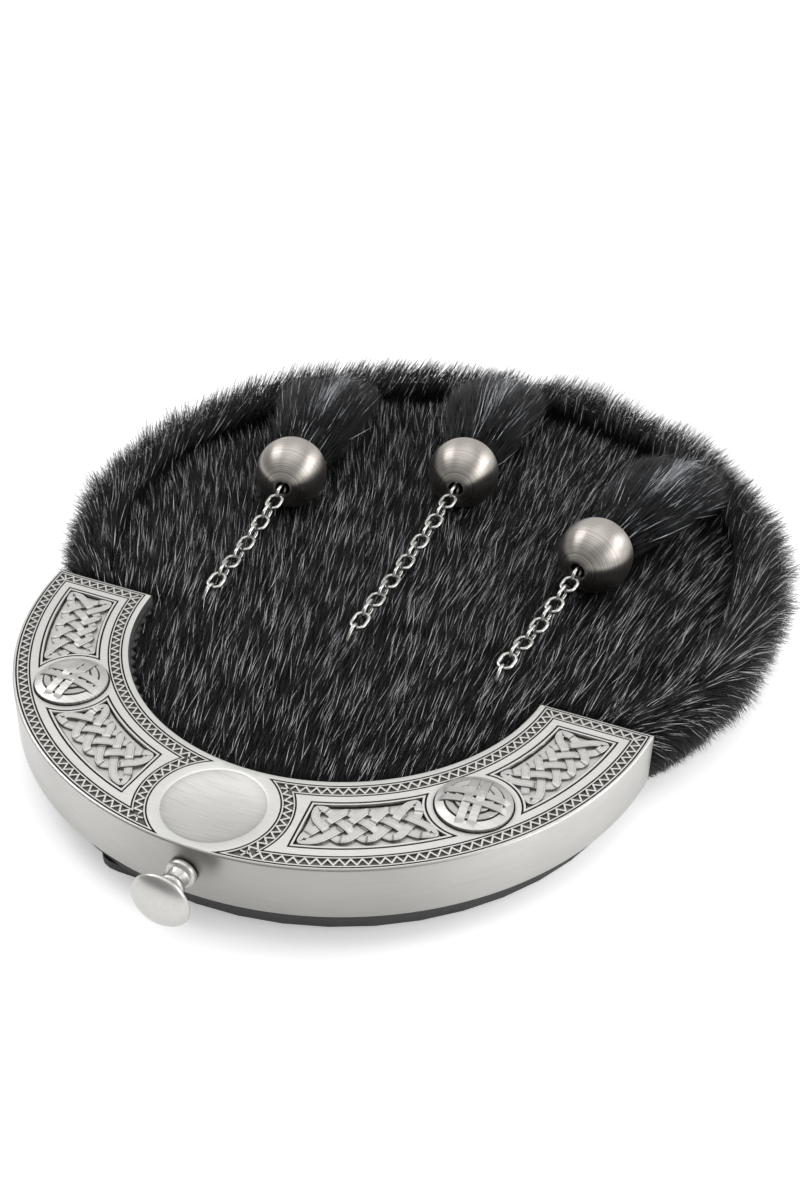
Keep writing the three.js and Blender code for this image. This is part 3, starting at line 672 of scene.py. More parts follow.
def knotPath(sidesAt):
    # One endless ribbon that bounces between the panel's sides, over and under itself by turns
    def bounce(step, top):
        return top - abs(step % (2 * top) - top)

    lengthwise, crosswise = 2 * knot["along"], 2 * knot["across"]
    sides = sidesAt(panelProfile[-2][0] + knot["margin"])
    control = []
    stepCount = 4 * knot["along"] * knot["across"]
    for step in range(stepCount):
        i, j = bounce(step + 1, lengthwise), bounce(step, crosswise)
        nextI, nextJ = bounce(step + 2, lengthwise), bounce(step + 1, crosswise)
        rising = (nextI - i) * (nextJ - j) > 0
        atSide = i in (0, lengthwise) or j in (0, crosswise)
        isOver = rising == (i % 2 == 1)
        lift = 0.55 if atSide else (1 if isOver else 0)
        control.append((i, j, lift))
        if atSide and (nextI in (0, lengthwise) or nextJ in (0, crosswise)):
            corner = (0 if min(i, nextI) == 0 else lengthwise, 0 if min(j, nextJ) == 0 else crosswise, 0.7)
            control += [corner, corner]
    path, ticks = [], []
    count = len(control)
    for c in range(count):
        group = [control[(c + offset) % count] for offset in (-1, 0, 1, 2)]
        for k in range(knot["finePoints"]):
            t = k / knot["finePoints"]
            weights = [(1 - t) ** 3 / 6, (3 * t ** 3 - 6 * t ** 2 + 4) / 6,
                       (-3 * t ** 3 + 3 * t ** 2 + 3 * t + 1) / 6, t ** 3 / 6]
            i, j, lift = (sum(w * place[axis] for w, place in zip(weights, group)) for axis in range(3))
            u, v = i / lengthwise, j / crosswise
            outerPoint = sidePoint(*sides["outer"], u)
            innerPoint = sidePoint(*sides["inner"], 1 - u)
            flat = innerPoint.lerp(outerPoint, v)
            raised = float(smoothstep(lift, 0.4, 0.56))
            height = knot["under"] + (knot["over"] - knot["under"]) * raised
            path.append(Vector((flat.x, flat.y, faceZ + height)))
            ticks.append(knot["tickPatina"] if 0.25 < raised < 0.75 else 0)
    return path, ticks


def ribbonSection(half, rise, depth):
    # A flat strap, worn bright on top and dark along its edges, with a faint line just inside each edge
    right = [(half - 0.42, rise, 0.33), (half - 0.37, rise - 0.03, 0.6), (half - 0.32, rise, 0.33),
             (half - 0.08, rise, 0.33), (half, rise - 0.09, 0.62), (half, depth, 0.66)]
    left = [(-sideways, up, recess) for sideways, up, recess in reversed(right)]
    return left + right


def buildKnots():
    shape = startRelief()
    section = ribbonSection(knot["width"] / 2, 0, knot["depth"])
    for sidesAt in (endPanelSides, innerPanelSides):
        path, ticks = knotPath(sidesAt)
        for hand in (1, -1):
            sweepStrip(shape, handed(path, hand), section, closed=True, ticks=ticks)
    return finishRelief("cantle_knots", shape)


# The boss's own knot: two double straps woven through each other at the middle, their ends sunk into the
# dome, and two ring straps below them.
bossKnot = {
    "strapApart": 1.22,
    "strapHalf": 0.96,
    "strapRise": 0.32,
    "weave": 0.17,
    "weaveReach": 2.4,
    "edgeIn": 0.95,
    "endLength": 1.5,
    "endSink": 0.36,
    "rings": (3.35, 5.25),
    "ringHalf": 0.8,
    "ringRise": 0.02,
}


def buildBossKnots():
    shape = startRelief()
    reach = cantle["boss"]["r"] - bossKnot["edgeIn"]
    apart = bossKnot["strapApart"]
    strap = strapSection(bossKnot["strapHalf"], bossKnot["strapRise"])
    ringStrap = strapSection(bossKnot["ringHalf"], bossKnot["ringRise"])
    for pair, turn in enumerate((45 - cantle["boss"]["angle"], 135 - cantle["boss"]["angle"])):
        for place in (-1, 1):
            sideStep = polar(apart * place, turn + 90)
            span = math.sqrt(reach ** 2 - (apart + 0.5) ** 2)
            points = []
            for i in range(41):
                along = -span + 2 * span * i / 40
                flat = bossCentre + polar(along, turn) + sideStep
                crossing = math.cos(math.pi * (along - apart) / (2 * apart))
                crossing *= math.exp(-(along / bossKnot["weaveReach"]) ** 4)
                weave = bossKnot["weave"] * crossing * (1 if (pair + (place > 0)) % 2 else -1)
                sunk = bossKnot["endSink"] * float(smoothstep(abs(along), span - bossKnot["endLength"], span))
                height = bossHeight(math.hypot(along, apart)) + weave - sunk
                points.append(Vector((flat.x, flat.y, faceZ + height)))
            for hand in (1, -1):
                sweepStrip(shape, handed(points, hand), strap, closed=False)
    for ringR in bossKnot["rings"]:
        ring = []
        for i in range(72):
            flat = bossCentre + polar(ringR, 5 * i)
            ring.append(Vector((flat.x, flat.y, faceZ + bossHeight(ringR))))
        for hand in (1, -1):
            sweepStrip(shape, handed(ring, hand), ringStrap, closed=True)
    return finishRelief("cantle_boss_knots", shape)


def strapSection(half, rise):
    # A plain strap with rounded edges
    return [(-half, -0.7, 0.8), (-half, rise - 0.14, 0.7), (-half + 0.12, rise, 0.42),
            (half - 0.12, rise, 0.42), (half, rise - 0.14, 0.7), (half, -0.7, 0.8)]


for build, degrees in ((buildFacePlate, 30), (buildCantleWall, 40), (buildZigzags, 30), (buildKnots, 25),
                       (buildBossKnots, 30)):
    cantlePiece = build()
    smooth(cantlePiece, degrees)
    finishPiece(cantlePiece, wallPewter if build is buildCantleWall else pewter, "pewter", "cantle")
print("cantle made")


def fixNormals(piece):
    activate(piece)
    bpy.ops.object.mode_set(mode="EDIT")
    bpy.ops.mesh.select_all(action="SELECT")
    bpy.ops.mesh.remove_doubles(threshold=0.002 * mm)
    bpy.ops.mesh.normals_make_consistent(inside=False)
    bpy.ops.object.mode_set(mode="OBJECT")


# Turned pieces: a profile of (radius, along) spun round an axis. The material reads how far along the axis a
# point is, and the direction round it.
def spinProfile(name, profile, steps, centre, axis):
    mesh = bpy.data.meshes.new(name)
    side = axis.orthogonal().normalized()
    points = [toMetres(*(centre + side * radius + axis * along)) for radius, along in profile]
    mesh.from_pydata(points, [(i, i + 1) for i in range(len(points) - 1)], [])
    piece = addObject(name, mesh)
    activate(piece)
    bpy.ops.object.mode_set(mode="EDIT")
    bpy.ops.mesh.select_all(action="SELECT")
    middle = Vector(toMetres(*centre))
    bpy.ops.mesh.spin(steps=steps, angle=2 * math.pi, center=middle, axis=axis)
    fixNormals(piece)
    turned = piece.data.attributes.new("turned", "FLOAT", "POINT")
    around = piece.data.attributes.new("spinTangent", "FLOAT_VECTOR", "POINT")
    for i, vert in enumerate(piece.data.vertices):
        turned.data[i].value = (vert.co - middle).dot(axis) / mm
        around.data[i].vector = axis.cross(vert.co - middle).normalized()
    return piece


# The knob stands square out of the cantle's wall: foot, neck with a bead, and a mushroom head.
knobShape = {
    "belowFace": 6.7,
    "offWall": 0.3,
    "foot": [(0, 0), (3.2, 0), (3.35, 0.15), (3.35, 1.1), (3.1, 1.4), (2.5, 1.6)],
    "neck": [(2.3, 2), (2.3, 3.6), (2.6, 3.8), (2.85, 4.2), (2.85, 4.9), (2.6, 5.3), (2.2, 5.6), (2.1, 6.6)],
    "head": [(2.3, 7.2), (3.6, 7.75), (5.3, 8.1), (6.3, 8.3), (6.6, 8.6), (6.6, 8.95), (6.4, 9.25),
             (5.7, 9.9), (4.5, 10.5), (3.1, 10.95), (1.6, 11.15), (0, 11.2)],
}
knobFoot = Vector((0, -cantleOuterR - knobShape["offWall"], faceZ - knobShape["belowFace"]))
knob = spinProfile("knob_turned", knobShape["foot"] + knobShape["neck"] + knobShape["head"], 48, knobFoot,
                   Vector((0, -1, 0)))
smooth(knob, 40)
finishPiece(knob, knobPewter, "pewter", "knob")

# Where each chain leaves the fur, where its ball's centre lies, how many degrees the tassel is turned from
# straight on, its tail's length from the ball's centre, and its chain's links.
tassels = [
    {"side": "left", "anchor": (-37.8, 3), "ball": (-40.2, 53.2, 29), "turn": 11, "length": 57, "links": 11},
    {"side": "middle", "anchor": (1, 2), "ball": (1.2, 72.6, 29), "turn": 8, "length": 56, "links": 15},
    {"side": "right", "anchor": (37.8, 3), "ball": (45.2, 49.2, 29), "turn": -12, "length": 56, "links": 11},
]
ballShape = {"r": 9.3, "wall": 1, "holeR": 2.2, "mouthR": 7.9}


def arcProfile(radius, low, high, steps):
    turns = [low + (high - low) * i / steps for i in range(steps + 1)]
    return [(radius * math.sin(turn), -radius * math.cos(turn)) for turn in turns]


def buildBall(tassel):
    # A hollow cap: round outside and in, with a rounded lip at the tail's mouth and an edge at the hole
    outerR, holeR, mouthR = ballShape["r"], ballShape["holeR"], ballShape["mouthR"]
    holeTurn, mouthTurn = math.asin(holeR / outerR), math.pi - math.asin(mouthR / outerR)
    outer = arcProfile(outerR, holeTurn + 0.04, mouthTurn - 0.03, 30)
    lipIn = [(mouthR - 0.15, outer[-1][1] + 0.12), (mouthR - 0.35, outer[-1][1] - 0.1)]
    inner = arcProfile(outerR - ballShape["wall"], mouthTurn - 0.02, holeTurn + 0.08, 14)
    lipOut = [(holeR - 0.2, outer[0][1] + 0.7), (holeR - 0.2, outer[0][1] + 0.15)]
    profile = outer + lipIn + inner + lipOut + [outer[0]]
    axis = polar(1, 90 + tassel["turn"]).to_3d()
    return spinProfile("ball_turned_" + tassel["side"], profile, 64, Vector(tassel["ball"]), axis)


for tassel in tassels:
    ball = buildBall(tassel)
    smooth(ball, 40)
    finishPiece(ball, turnedMetal, "dark_pewter", "ball_" + tassel["side"])
print("knob and balls made")

# The fur's surfaces, in the solids' sizes: the pouch's outline, the front panel's crown and its hide.
pelt = {
    "pouchR": 93,
    "centreY": 48,
    "seamInset": 14,
    "crestZ": 23.4,
    "crownDrop": 0.9,
    "valleyDepth": 3.2,
    "valleyWidth": 13,
    "pile": 3.3,
    "hideLeast": 0.8,
    "hollow": {"out": [0, 62, 120], "z": [18, 17, 16.6]},
    "underCantle": {"r": 47.5, "y": -2.8, "z": 17.9},
}
seamR = pelt["pouchR"] - pelt["seamInset"]


def furHeight(x, y):
    # The top of the front panel's fur: a crown, with a valley before the rim away from the cantle
    out = np.hypot(x, y - pelt["centreY"])
    crown = pelt["crestZ"] - 0.6 - pelt["crownDrop"] * (out / seamR) ** 2
    valley = pelt["valleyDepth"] * smoothstep(out, seamR - pelt["valleyWidth"], seamR)
    return crown - valley * smoothstep(y, -2, 18)


def hideUnder(x, y):
    # The hide's hollow side
    out = np.hypot(x, y - pelt["centreY"])
    return np.interp(out, pelt["hollow"]["out"], pelt["hollow"]["z"])


def hideTop(x, y):
    # The hide's outside, a pile's depth under the fur and lower where the cantle lies on it
    nearSeam = smoothstep(np.hypot(x, y - pelt["centreY"]), 62, 79) * smoothstep(y, -2, 12)
    top = np.maximum(furHeight(x, y) - pelt["pile"] + 2.4 * nearSeam, hideUnder(x, y) + pelt["hideLeast"])
    cover = pelt["underCantle"]
    isCovered = (np.hypot(x, y) > cover["r"]) & (y < cover["y"])
    return np.where(isCovered, np.minimum(top, cover["z"]), top)


# A chain comes out of the fur, lies just over it, rises a little midway and ends inside its ball.
chainRun = {"intoFur": 2.6, "overFur": 0.9, "midway": 0.45, "midRise": 0.9, "insideBall": 1.6, "endDrop": 0.6}


def chainPath(tassel):
    x, y = tassel["anchor"]
    bx, by, bz = tassel["ball"]
    turn = math.radians(90 + tassel["turn"])
    reach = ballShape["r"] - chainRun["insideBall"]
    holeX, holeY = bx - reach * math.cos(turn), by - reach * math.sin(turn)
    restZ = float(furHeight(x, y)) + chainRun["overFur"]
    midX, midY = x + (holeX - x) * chainRun["midway"], y + (holeY - y) * chainRun["midway"]
    control = [Vector((x, y - 1.2, restZ - chainRun["intoFur"])), Vector((x + 0.3, y + 2.4, restZ)),
               Vector((midX, midY, restZ + chainRun["midRise"])),
               Vector((holeX, holeY, bz - chainRun["endDrop"]))]
    first, last = control[0] * 2 - control[1], control[-1] * 2 - control[-2]
    control = [first] + control + [last]
    knots = [0]
    for a, b in zip(control, control[1:]):
        knots.append(knots[-1] + math.sqrt((b - a).length))
    path = []
    for c in range(1, len(control) - 2):
        for k in range(40):
            t = knots[c] + (knots[c + 1] - knots[c]) * k / 40
            points = control[c - 1:c + 3]
            for depth in (1, 2, 3):
                points = [blendKnots(points, knots, c, depth, i, t) for i in range(4 - depth)]
            path.append(points[0])
    path.append(control[-2])
    return path


def blendKnots(points, knots, c, depth, i, t):
    # One step of the pyramid that evaluates a centripetal curve
    if depth == 1:
        low, high = knots[c - 1 + i], knots[c + i]
    elif depth == 2:
        low, high = knots[c - 1 + i], knots[c + 1 + i]
    else:
        low, high = knots[c], knots[c + 1]
    return points[i].lerp(points[i + 1], (t - low) / (high - low))


def walkPath(path, distance):
    # The point and direction at a distance along a path
    for a, b in zip(path, path[1:]):
        step = (b - a).length
        if distance <= step:
            return a.lerp(b, distance / step), (b - a).normalized()
        distance -= step
    return path[-1], (path[-1] - path[-2]).normalized()


linkShape = {"width": 4.45, "wireR": 0.47}


def buildChain(tassel):
    # Oval links hooked through each other, every second one turned on edge
    path = chainPath(tassel)
    total = sum((b - a).length for a, b in zip(path, path[1:]))
    pitch = total / (tassel["links"] - 0.25)
    bendR = linkShape["width"] / 2 - linkShape["wireR"]
    straight = (pitch + 4 * linkShape["wireR"] - 0.08 - linkShape["width"]) / 2
    links = []
    for i in range(tassel["links"]):
        place, along = walkPath(path, (i + 0.4) * pitch)
        side = Vector((0, 0, 1)).cross(along).normalized()
        up = along.cross(side)
        flat, high = (side, up) if i % 2 else (up, -side)
        deselectAll()
        bpy.ops.mesh.primitive_torus_add(major_segments=24, minor_segments=10, major_radius=bendR * mm,
                                         minor_radius=linkShape["wireR"] * mm)
        link = bpy.context.object
        for vert in link.data.vertices:  # draws the round link out to an oval
            vert.co.x += math.copysign(straight * mm, vert.co.x) * min(1, abs(vert.co.x) / (0.2 * mm))
        centre = Vector(toMetres(*place))
        link.data.transform(Matrix.Translation(centre) @ Matrix((along, flat, high)).transposed().to_4x4())
        links.append(link)
    activate(links[0])
    for link in links:
        link.select_set(True)
    bpy.ops.object.join()
    chain = bpy.context.object
    chain.name = "chain_links_" + tassel["side"]
    return chain


for tassel in tassels:
    chain = buildChain(tassel)
    smooth(chain, 60)
    finishPiece(chain, wireSteel, "steel", "chain_" + tassel["side"])
print("chains made")


def pieceFromArrays(name, points, faces, attributes=None):
    # points in millimetres about the cantle's centre
    mesh = bpy.data.meshes.new(name)
    places = (np.asarray(points, float) + (0, shiftY, 0)) * mm
    faces = np.asarray(faces, np.int32)
    mesh.vertices.add(len(places))
    mesh.vertices.foreach_set("co", places.astype(np.float32).ravel())
    mesh.loops.add(faces.size)
    mesh.loops.foreach_set("vertex_index", faces.ravel())
    mesh.polygons.add(len(faces))
    mesh.polygons.foreach_set("loop_start", np.arange(0, faces.size, faces.shape[1], dtype=np.int32))
    mesh.update(calc_edges=True)
    for key, values in (attributes or {}).items():
        mesh.attributes.new(key, "FLOAT", "POINT").data.foreach_set("value", np.asarray(values, np.float32))
    mesh.shade_smooth()
    mesh.validate()
    return addObject(name, mesh)


def capEnds(piece, sides):
    # Closes the open ends of a tube
    activate(piece)
    bpy.ops.object.mode_set(mode="EDIT")
    bpy.ops.mesh.select_all(action="DESELECT")
    bpy.ops.mesh.select_non_manifold()
    bpy.ops.mesh.fill_holes(sides=sides)
    bpy.ops.object.mode_set(mode="OBJECT")
    fixNormals(piece)


def ringFaces(rings, count):
    faces = []
    for i in range(rings - 1):
        for j in range(count):
            k = (j + 1) % count
            faces.append((i * count + j, i * count + k, (i + 1) * count + k, (i + 1) * count + j))
    return faces


# The front panel's hide: a closed shell from the crown's pile base to its hollow underside.
def buildFrontHide():
    edgeR = seamR - 0.3
    underCantleR = 71.5
    spokes, rounds = 180, 26
    points = []
    turns = [2 * math.pi * k / spokes for k in range(spokes)]

    def reach(turn):
        dy = math.sin(turn)
        if pelt["centreY"] + edgeR * dy >= -2.9:
            return edgeR
        middle = pelt["centreY"] * dy
        return -middle + math.sqrt(underCantleR ** 2 - pelt["centreY"] ** 2 + middle ** 2)

    shares = [0.001] + [i / rounds for i in range(1, rounds + 1)]
    for surface, order in ((hideTop, shares), (hideUnder, list(reversed(shares)))):
        for share in order:
            for turn in turns:
                x = reach(turn) * share * math.cos(turn)
                y = pelt["centreY"] + reach(turn) * share * math.sin(turn)
                points.append((x, y, float(surface(x, y))))
    hide = pieceFromArrays("fur_front_hide", points, ringFaces(2 * len(shares), spokes))
    fixNormals(hide)
    return hide


# The rim's pile base and inside wall, from the seam over the crest to the floor and back: distance in from
# the pouch's outline, height, and how much higher it stands away from the cantle, where the pouch is fuller.
rimPile = [(14, 18.4, 0.6), (11.8, 19.6, 1.3), (8.8, 20.2, 2.2), (6, 19.4, 2.6), (4, 17.2, 2.4),
           (3.2, 14, 1.6), (4.2, 9.4, 0.8), (6.2, 5, 0.2), (8, 1.6, 0)]
rimInside = [(9, 1.2, 0), (6.9, 8, 0), (8.6, 14.4, 0), (14, 16.6, 0)]
bandStartY = -2.8


def rimPoint(inset, z, rise, share):
    # The share runs from one of the cantle's ends round to the other, and both ends of the rim are cut level
    radius = pelt["pouchR"] - inset
    start = np.arcsin(np.clip((bandStartY - pelt["centreY"]) / radius, -1, 1))
    turn = start + (math.pi - 2 * start) * share
    y = pelt["centreY"] + radius * np.sin(turn)
    fuller = smoothstep(pelt["centreY"] + pelt["pouchR"] * np.sin(turn), -2, 26)
    return np.stack([radius * np.cos(turn), y, z + rise * fuller], -1), turn


def buildBandHide():
    section = rimPile + rimInside
    stations = 150
    points = []
    for i in range(stations + 1):
        for inset, z, rise in section:
            place, _ = rimPoint(inset, z, rise, np.float64(i / stations))
            points.append(tuple(place))
    count = len(section)
    band = pieceFromArrays("fur_band_hide", points, ringFaces(stations + 1, count))
    capEnds(band, count)
    return band


finishPiece(buildFrontHide(), underfur, "fur", "fur_front")
finishPiece(buildBandHide(), underfur, "fur", "fur_band")
print("hides made")


def waveNoise(places, size, seed):
    # A smooth field between about -1 and 1 whose swells are that many millimetres long
    random = np.random.default_rng(seed)
    total = np.zeros(len(places))
    for _ in range(7):
        direction = random.normal(size=places.shape[1])
        direction /= np.linalg.norm(direction)
        length = size * random.uniform(0.7, 1.6)
        total += np.sin(places @ direction * 2 * math.pi / length + random.uniform(0, 2 * math.pi))
    return total / 3.2


def unit(vectors):
    return vectors / np.maximum(np.linalg.norm(vectors, axis=-1, keepdims=True), 1e-9)


# Hairs are closed three-sided spindles: root, widest ring, tip. The tip leans further with the flow than the
# lower half. Tips are pulled together into tufts, one to a cell of the clump's size. None meets the floor.
spindle = {"ringShare": 0.42, "ringPull": 0.12, "tipLeastZ": 0.4, "ringLeastZ": 0.5}
tuftScatter = np.array([[12.9, 78.2, 37.7], [39.3, 11.1, 83.1], [73.1, 52.2, 9.2]])  # any large numbers


def growHair(name, coat, clump, seed, material, slot):
    random = np.random.default_rng(seed)
    roots, normals, glint = coat["roots"], coat["normals"], coat["glint"]
    count = len(roots)
    flows = unit(coat["flows"] - normals * np.sum(coat["flows"] * normals, -1, keepdims=True))
    steep = np.radians(coat["rises"])[:, None]
    shallow = np.radians(coat["rises"] - coat["droops"])[:, None]
    lower = flows * np.cos(steep) + normals * np.sin(steep)
    upper = flows * np.cos(shallow) + normals * np.sin(shallow)
    length = coat["lengths"][:, None]
    ringAt = roots + lower * length * spindle["ringShare"]
    tip = ringAt + upper * length * (1 - spindle["ringShare"])
    cell = np.floor(roots / clump["size"])
    tuft = (cell + 0.5 + 0.35 * np.sin(cell @ tuftScatter)) * clump["size"]
    tuftTip = tuft + (tip - roots)
    pull = clump["pull"] * random.uniform(0.3, 1, (count, 1))
    tip = tip + (tuftTip - tip) * pull
    ringAt = ringAt + (tuftTip - tip) * pull * spindle["ringPull"]
    tip[:, 2] = np.maximum(tip[:, 2], spindle["tipLeastZ"])
    ringAt[:, 2] = np.maximum(ringAt[:, 2], spindle["ringLeastZ"])
    widths = coat["widths"][:, None]
    side = unit(np.cross(flows, normals))
    up = unit(np.cross(side, tip - roots))
    spin = random.uniform(0, 2 * math.pi, count)
    points = np.empty((count, 5, 3))
    points[:, 0] = roots
    points[:, 4] = tip
    for k in range(3):
        turn = spin + 2 * math.pi * k / 3
        points[:, 1 + k] = ringAt + (side * np.cos(turn)[:, None] + up * np.sin(turn)[:, None]) * widths / 2
    pattern = np.array([(0, 2, 1), (0, 3, 2), (0, 1, 3), (1, 2, 4), (2, 3, 4), (3, 1, 4)])
    faces = (pattern[None] + 5 * np.arange(count)[:, None, None]).reshape(-1, 3)
    along = np.tile([0, 0.5, 0.5, 0.5, 1], count)
    piece = pieceFromArrays(name, points.reshape(-1, 3), faces, {"along": along, "glint": np.repeat(glint, 5)})
    finishPiece(piece, material, slot)


# No hair grows under a ball and its tail: half the bare width, by the distance from the ball's centre.
bare = {"at": [-4, 0, 8, 30, 45, 55], "half": [2, 6, 5, 6, 7, 0], "beforeTip": 6}


def underTassel(places):
    hidden = np.zeros(len(places), bool)
    for tassel in tassels:
        along, across = (axis[:2] for axis in tailAxes(tassel))
        away = places[:, :2] - np.array(tassel["ball"][:2])
        at, aside = away @ along, np.abs(away @ across)
        near = (at > bare["at"][0]) & (at < tassel["length"] - bare["beforeTip"])
        hidden |= near & (aside < np.interp(at, bare["at"], bare["half"]))
    return hidden


def tailAxes(tassel):
    turn = math.radians(90 + tassel["turn"])
    along = np.array([math.cos(turn), math.sin(turn), 0])
    return along, np.array([along[1], -along[0], 0])


hairCounts = {"front": 60000, "band": 52000, "tail": 7000}


def glintHairs(random, count, share):
    # How much painted highlight each hair carries. Most are black, and a few are painted grey to white as
    # glints
    isGlint = random.uniform(size=count) < share
    return np.where(isGlint, random.uniform(0.25, 1, count), random.uniform(0, 0.04, count))


def hairWidths(random, hair, glint):
    # Hairs painted as glints are drawn wider, because glints on single real hairs would be too fine to show
    return random.uniform(*hair["width"], len(glint)) + hair["glintWider"] * (glint > 0.2)


def growHalves(names, order, coat, hair, seed):
    # One coat in two pieces, each within a piece's size
    half = len(order) // 2
    for name, part in zip(names, (order[:half], order[half:])):
        halfCoat = {key: values[part] for key, values in coat.items()}
        growHair(name, halfCoat, hair["clump"], seed, shortFur, "fur")


# The front panel's coat: lengths, widths and tufts in mm, rise from the hide and the tip's droop in degrees.
frontHair = {
    "length": 8.4,
    "vary": (0.7, 1.15),
    "width": (0.09, 0.14),
    "glintWider": 0.045,
    "glintShare": 0.085,
    "rise": 22,
    "droop": 5,
    "lean": -0.13,
    "fanOut": 0.0036,
    "insideCantleR": 49.4,
    "clump": {"size": 1.7, "pull": 0.09},
}


def growFront():
    random = np.random.default_rng(11)
    want = int(hairCounts["front"] * 1.9)  # more than are kept, because some fall outside the panel
    x, y = random.uniform(-seamR, seamR, want), random.uniform(-50, pelt["centreY"] + seamR, want)
    out = np.hypot(x, y - pelt["centreY"])
    keep = np.where(y > -2.6, out < seamR + 0.2, np.hypot(x, y) < frontHair["insideCantleR"])
    flat = np.stack([x, y], -1)[keep]
    flat = flat[~underTassel(flat)][:hairCounts["front"]]
    x, y = flat[:, 0], flat[:, 1]
    roots = np.stack([x, y, hideTop(x, y) - 0.3], -1)
    count = len(roots)
    step = 0.5
    slopeX = (hideTop(x + step, y) - hideTop(x - step, y)) / (2 * step)
    slopeY = (hideTop(x, y + step) - hideTop(x, y - step)) / (2 * step)
    normals = unit(np.stack([-slopeX, -slopeY, np.ones(count)], -1))
    out = np.hypot(x, y - pelt["centreY"])
    fan = frontHair["lean"] + frontHair["fanOut"] * x * (1 + smoothstep(y, -10, 90))
    fan = fan + 0.09 * waveNoise(flat, 30, 3) + 0.045 * waveNoise(flat, 9, 4)
    fan += random.normal(0, 0.12, count)
    flows = np.stack([np.sin(fan), np.cos(fan), np.zeros(count)], -1)
    rises = frontHair["rise"] + 4 * waveNoise(flat, 13, 5) + random.normal(0, 5, count)
    lengths = (frontHair["length"] + 0.8 * waveNoise(flat, 15, 6)) * random.uniform(*frontHair["vary"], count)
    nearSeam = smoothstep(out, seamR - 10, seamR - 1)
    farSide = smoothstep(y, 30, 90)
    lengths *= 1 + nearSeam * (0.35 * farSide - 0.2)
    rises = rises + 12 * nearSeam * farSide
    besideCantle = smoothstep(np.hypot(x, y), 40, 49) * (y < -3)
    rises = np.clip(rises - 6 * besideCantle, 6, 50)
    glint = glintHairs(random, count, frontHair["glintShare"])
    lengths *= 1 + 0.15 * (glint > 0.2)
    coat = {"roots": roots, "normals": normals, "flows": flows, "lengths": lengths, "rises": rises,
            "droops": np.full(count, frontHair["droop"]), "glint": glint,
            "widths": hairWidths(random, frontHair, glint)}
    growHalves(("fur_front_hair_low", "fur_front_hair_high"), np.argsort(y), coat, frontHair, 21)


# The rim's coat is longer and stands up more, most of all on the far side, and lies down under the pouch.
bandHair = {
    "length": 8.8,
    "vary": (0.6, 1.2),
    "width": (0.1, 0.16),
    "glintWider": 0.06,
    "glintShare": 0.11,
    "rise": 33,
    "droop": 5,
    "clump": {"size": 3, "pull": 0.48},
}


def growBand():
    random = np.random.default_rng(12)
    count = hairCounts["band"]
    section = np.array(rimPile, float)
    walked = np.concatenate([[0], np.cumsum(np.hypot(*np.diff(section[:, :2], axis=0).T))])
    along = random.uniform(0, walked[-1], count)
    share = random.uniform(0, 1, count)

    def sectionAt(distance):
        return [np.interp(distance, walked, section[:, k]) for k in range(3)]

    roots, turn = rimPoint(*sectionAt(along), share)
    before, _ = rimPoint(*sectionAt(along - 0.8), share)
    after, _ = rimPoint(*sectionAt(along + 0.8), share)
    radial = np.stack([np.cos(turn), np.sin(turn), np.zeros(count)], -1)
    upward = np.array([0, 0, 1.0])
    around = np.cross(upward, radial)
    onward = unit(after - before)
    normals = unit(np.cross(around, onward))
    normals *= np.sign(np.sum(normals * (radial * 0.4 + upward), -1, keepdims=True) + 1e-9)
    outward = np.sign(np.sum(normals * radial, -1, keepdims=True))
    normals = np.where((along > 16)[:, None], normals * outward, normals)  # past the crest
    roots = roots - normals * 0.3
    under = smoothstep(along, walked[-1] - 14, walked[-1] - 3)
    flows = onward * (0.7 - 0.45 * under)[:, None] + np.array([0, 1.0, 0]) * 0.5
    flows = flows + 0.16 * waveNoise(roots, 10, 7)[:, None] * around
    far = smoothstep(roots[:, 1], 30, 100) * (1 - under)
    flows = flows + random.normal(0, 0.12, (count, 3)) + np.array([0.5, 0, 0]) * far[:, None]
    side = smoothstep(along, 9, 13) * (1 - under)
    rises = bandHair["rise"] + 6 * waveNoise(roots, 12, 8) + random.normal(0, 7, count)
    rises = rises - 4 * side - 20 * under
    lengths = (bandHair["length"] + 1.1 * waveNoise(roots, 14, 9)) * random.uniform(*bandHair["vary"], count)
    lengths *= (1 - 0.1 * (1 - smoothstep(along, 0, 5))) * (1 - 0.45 * under) * (1 - 0.22 * side)
    lengths *= (1 + 0.25 * far) * (0.78 + 0.22 * smoothstep(roots[:, 1], 0, 26))
    rises = rises + 6 * far + 10 * far * (1 - smoothstep(along, 0, 4))
    rises = np.clip(rises, 8, 60)
    left = smoothstep(-roots[:, 0], 0, 60)
    lengths *= 1 + 0.17 * left * smoothstep(roots[:, 1], 0, 30) * (1 - under)
    # Painted shade: fewer hairs are painted as glints under the pouch, on the left and on the far side
    glintWhereLit = (1 - 0.7 * smoothstep(along, 8, 14)) * (1 - 0.35 * left) * (1 - 0.6 * far)
    glint = glintHairs(random, count, bandHair["glintShare"] * glintWhereLit)
    coat = {"roots": roots, "normals": normals, "flows": flows, "lengths": lengths, "rises": rises,
            "droops": np.full(count, bandHair["droop"]), "glint": glint,
            "widths": hairWidths(random, bandHair, glint)}
    growHalves(("fur_band_hair_right", "fur_band_hair_left"), np.argsort(share), coat, bandHair, 22)


growFront()
growBand()
print("short fur grown")

# A tail's sections along its axis: distance from the ball's centre, half width, half height, lowest level.
tailTable = {
    "at": [1.5, 9, 14.2, 25.6, 38.2, 49.6, 57],
    "halfWidth": [6.8, 7.2, 8.4, 10.6, 13.2, 13.4, 10],
    "halfHeight": [6.8, 6.4, 6, 5.4, 4.3, 2.9, 1.1],
    "lowZ": [22.2, 22.7, 23.6, 24.8, 25.8, 26.6, 27.2],
}
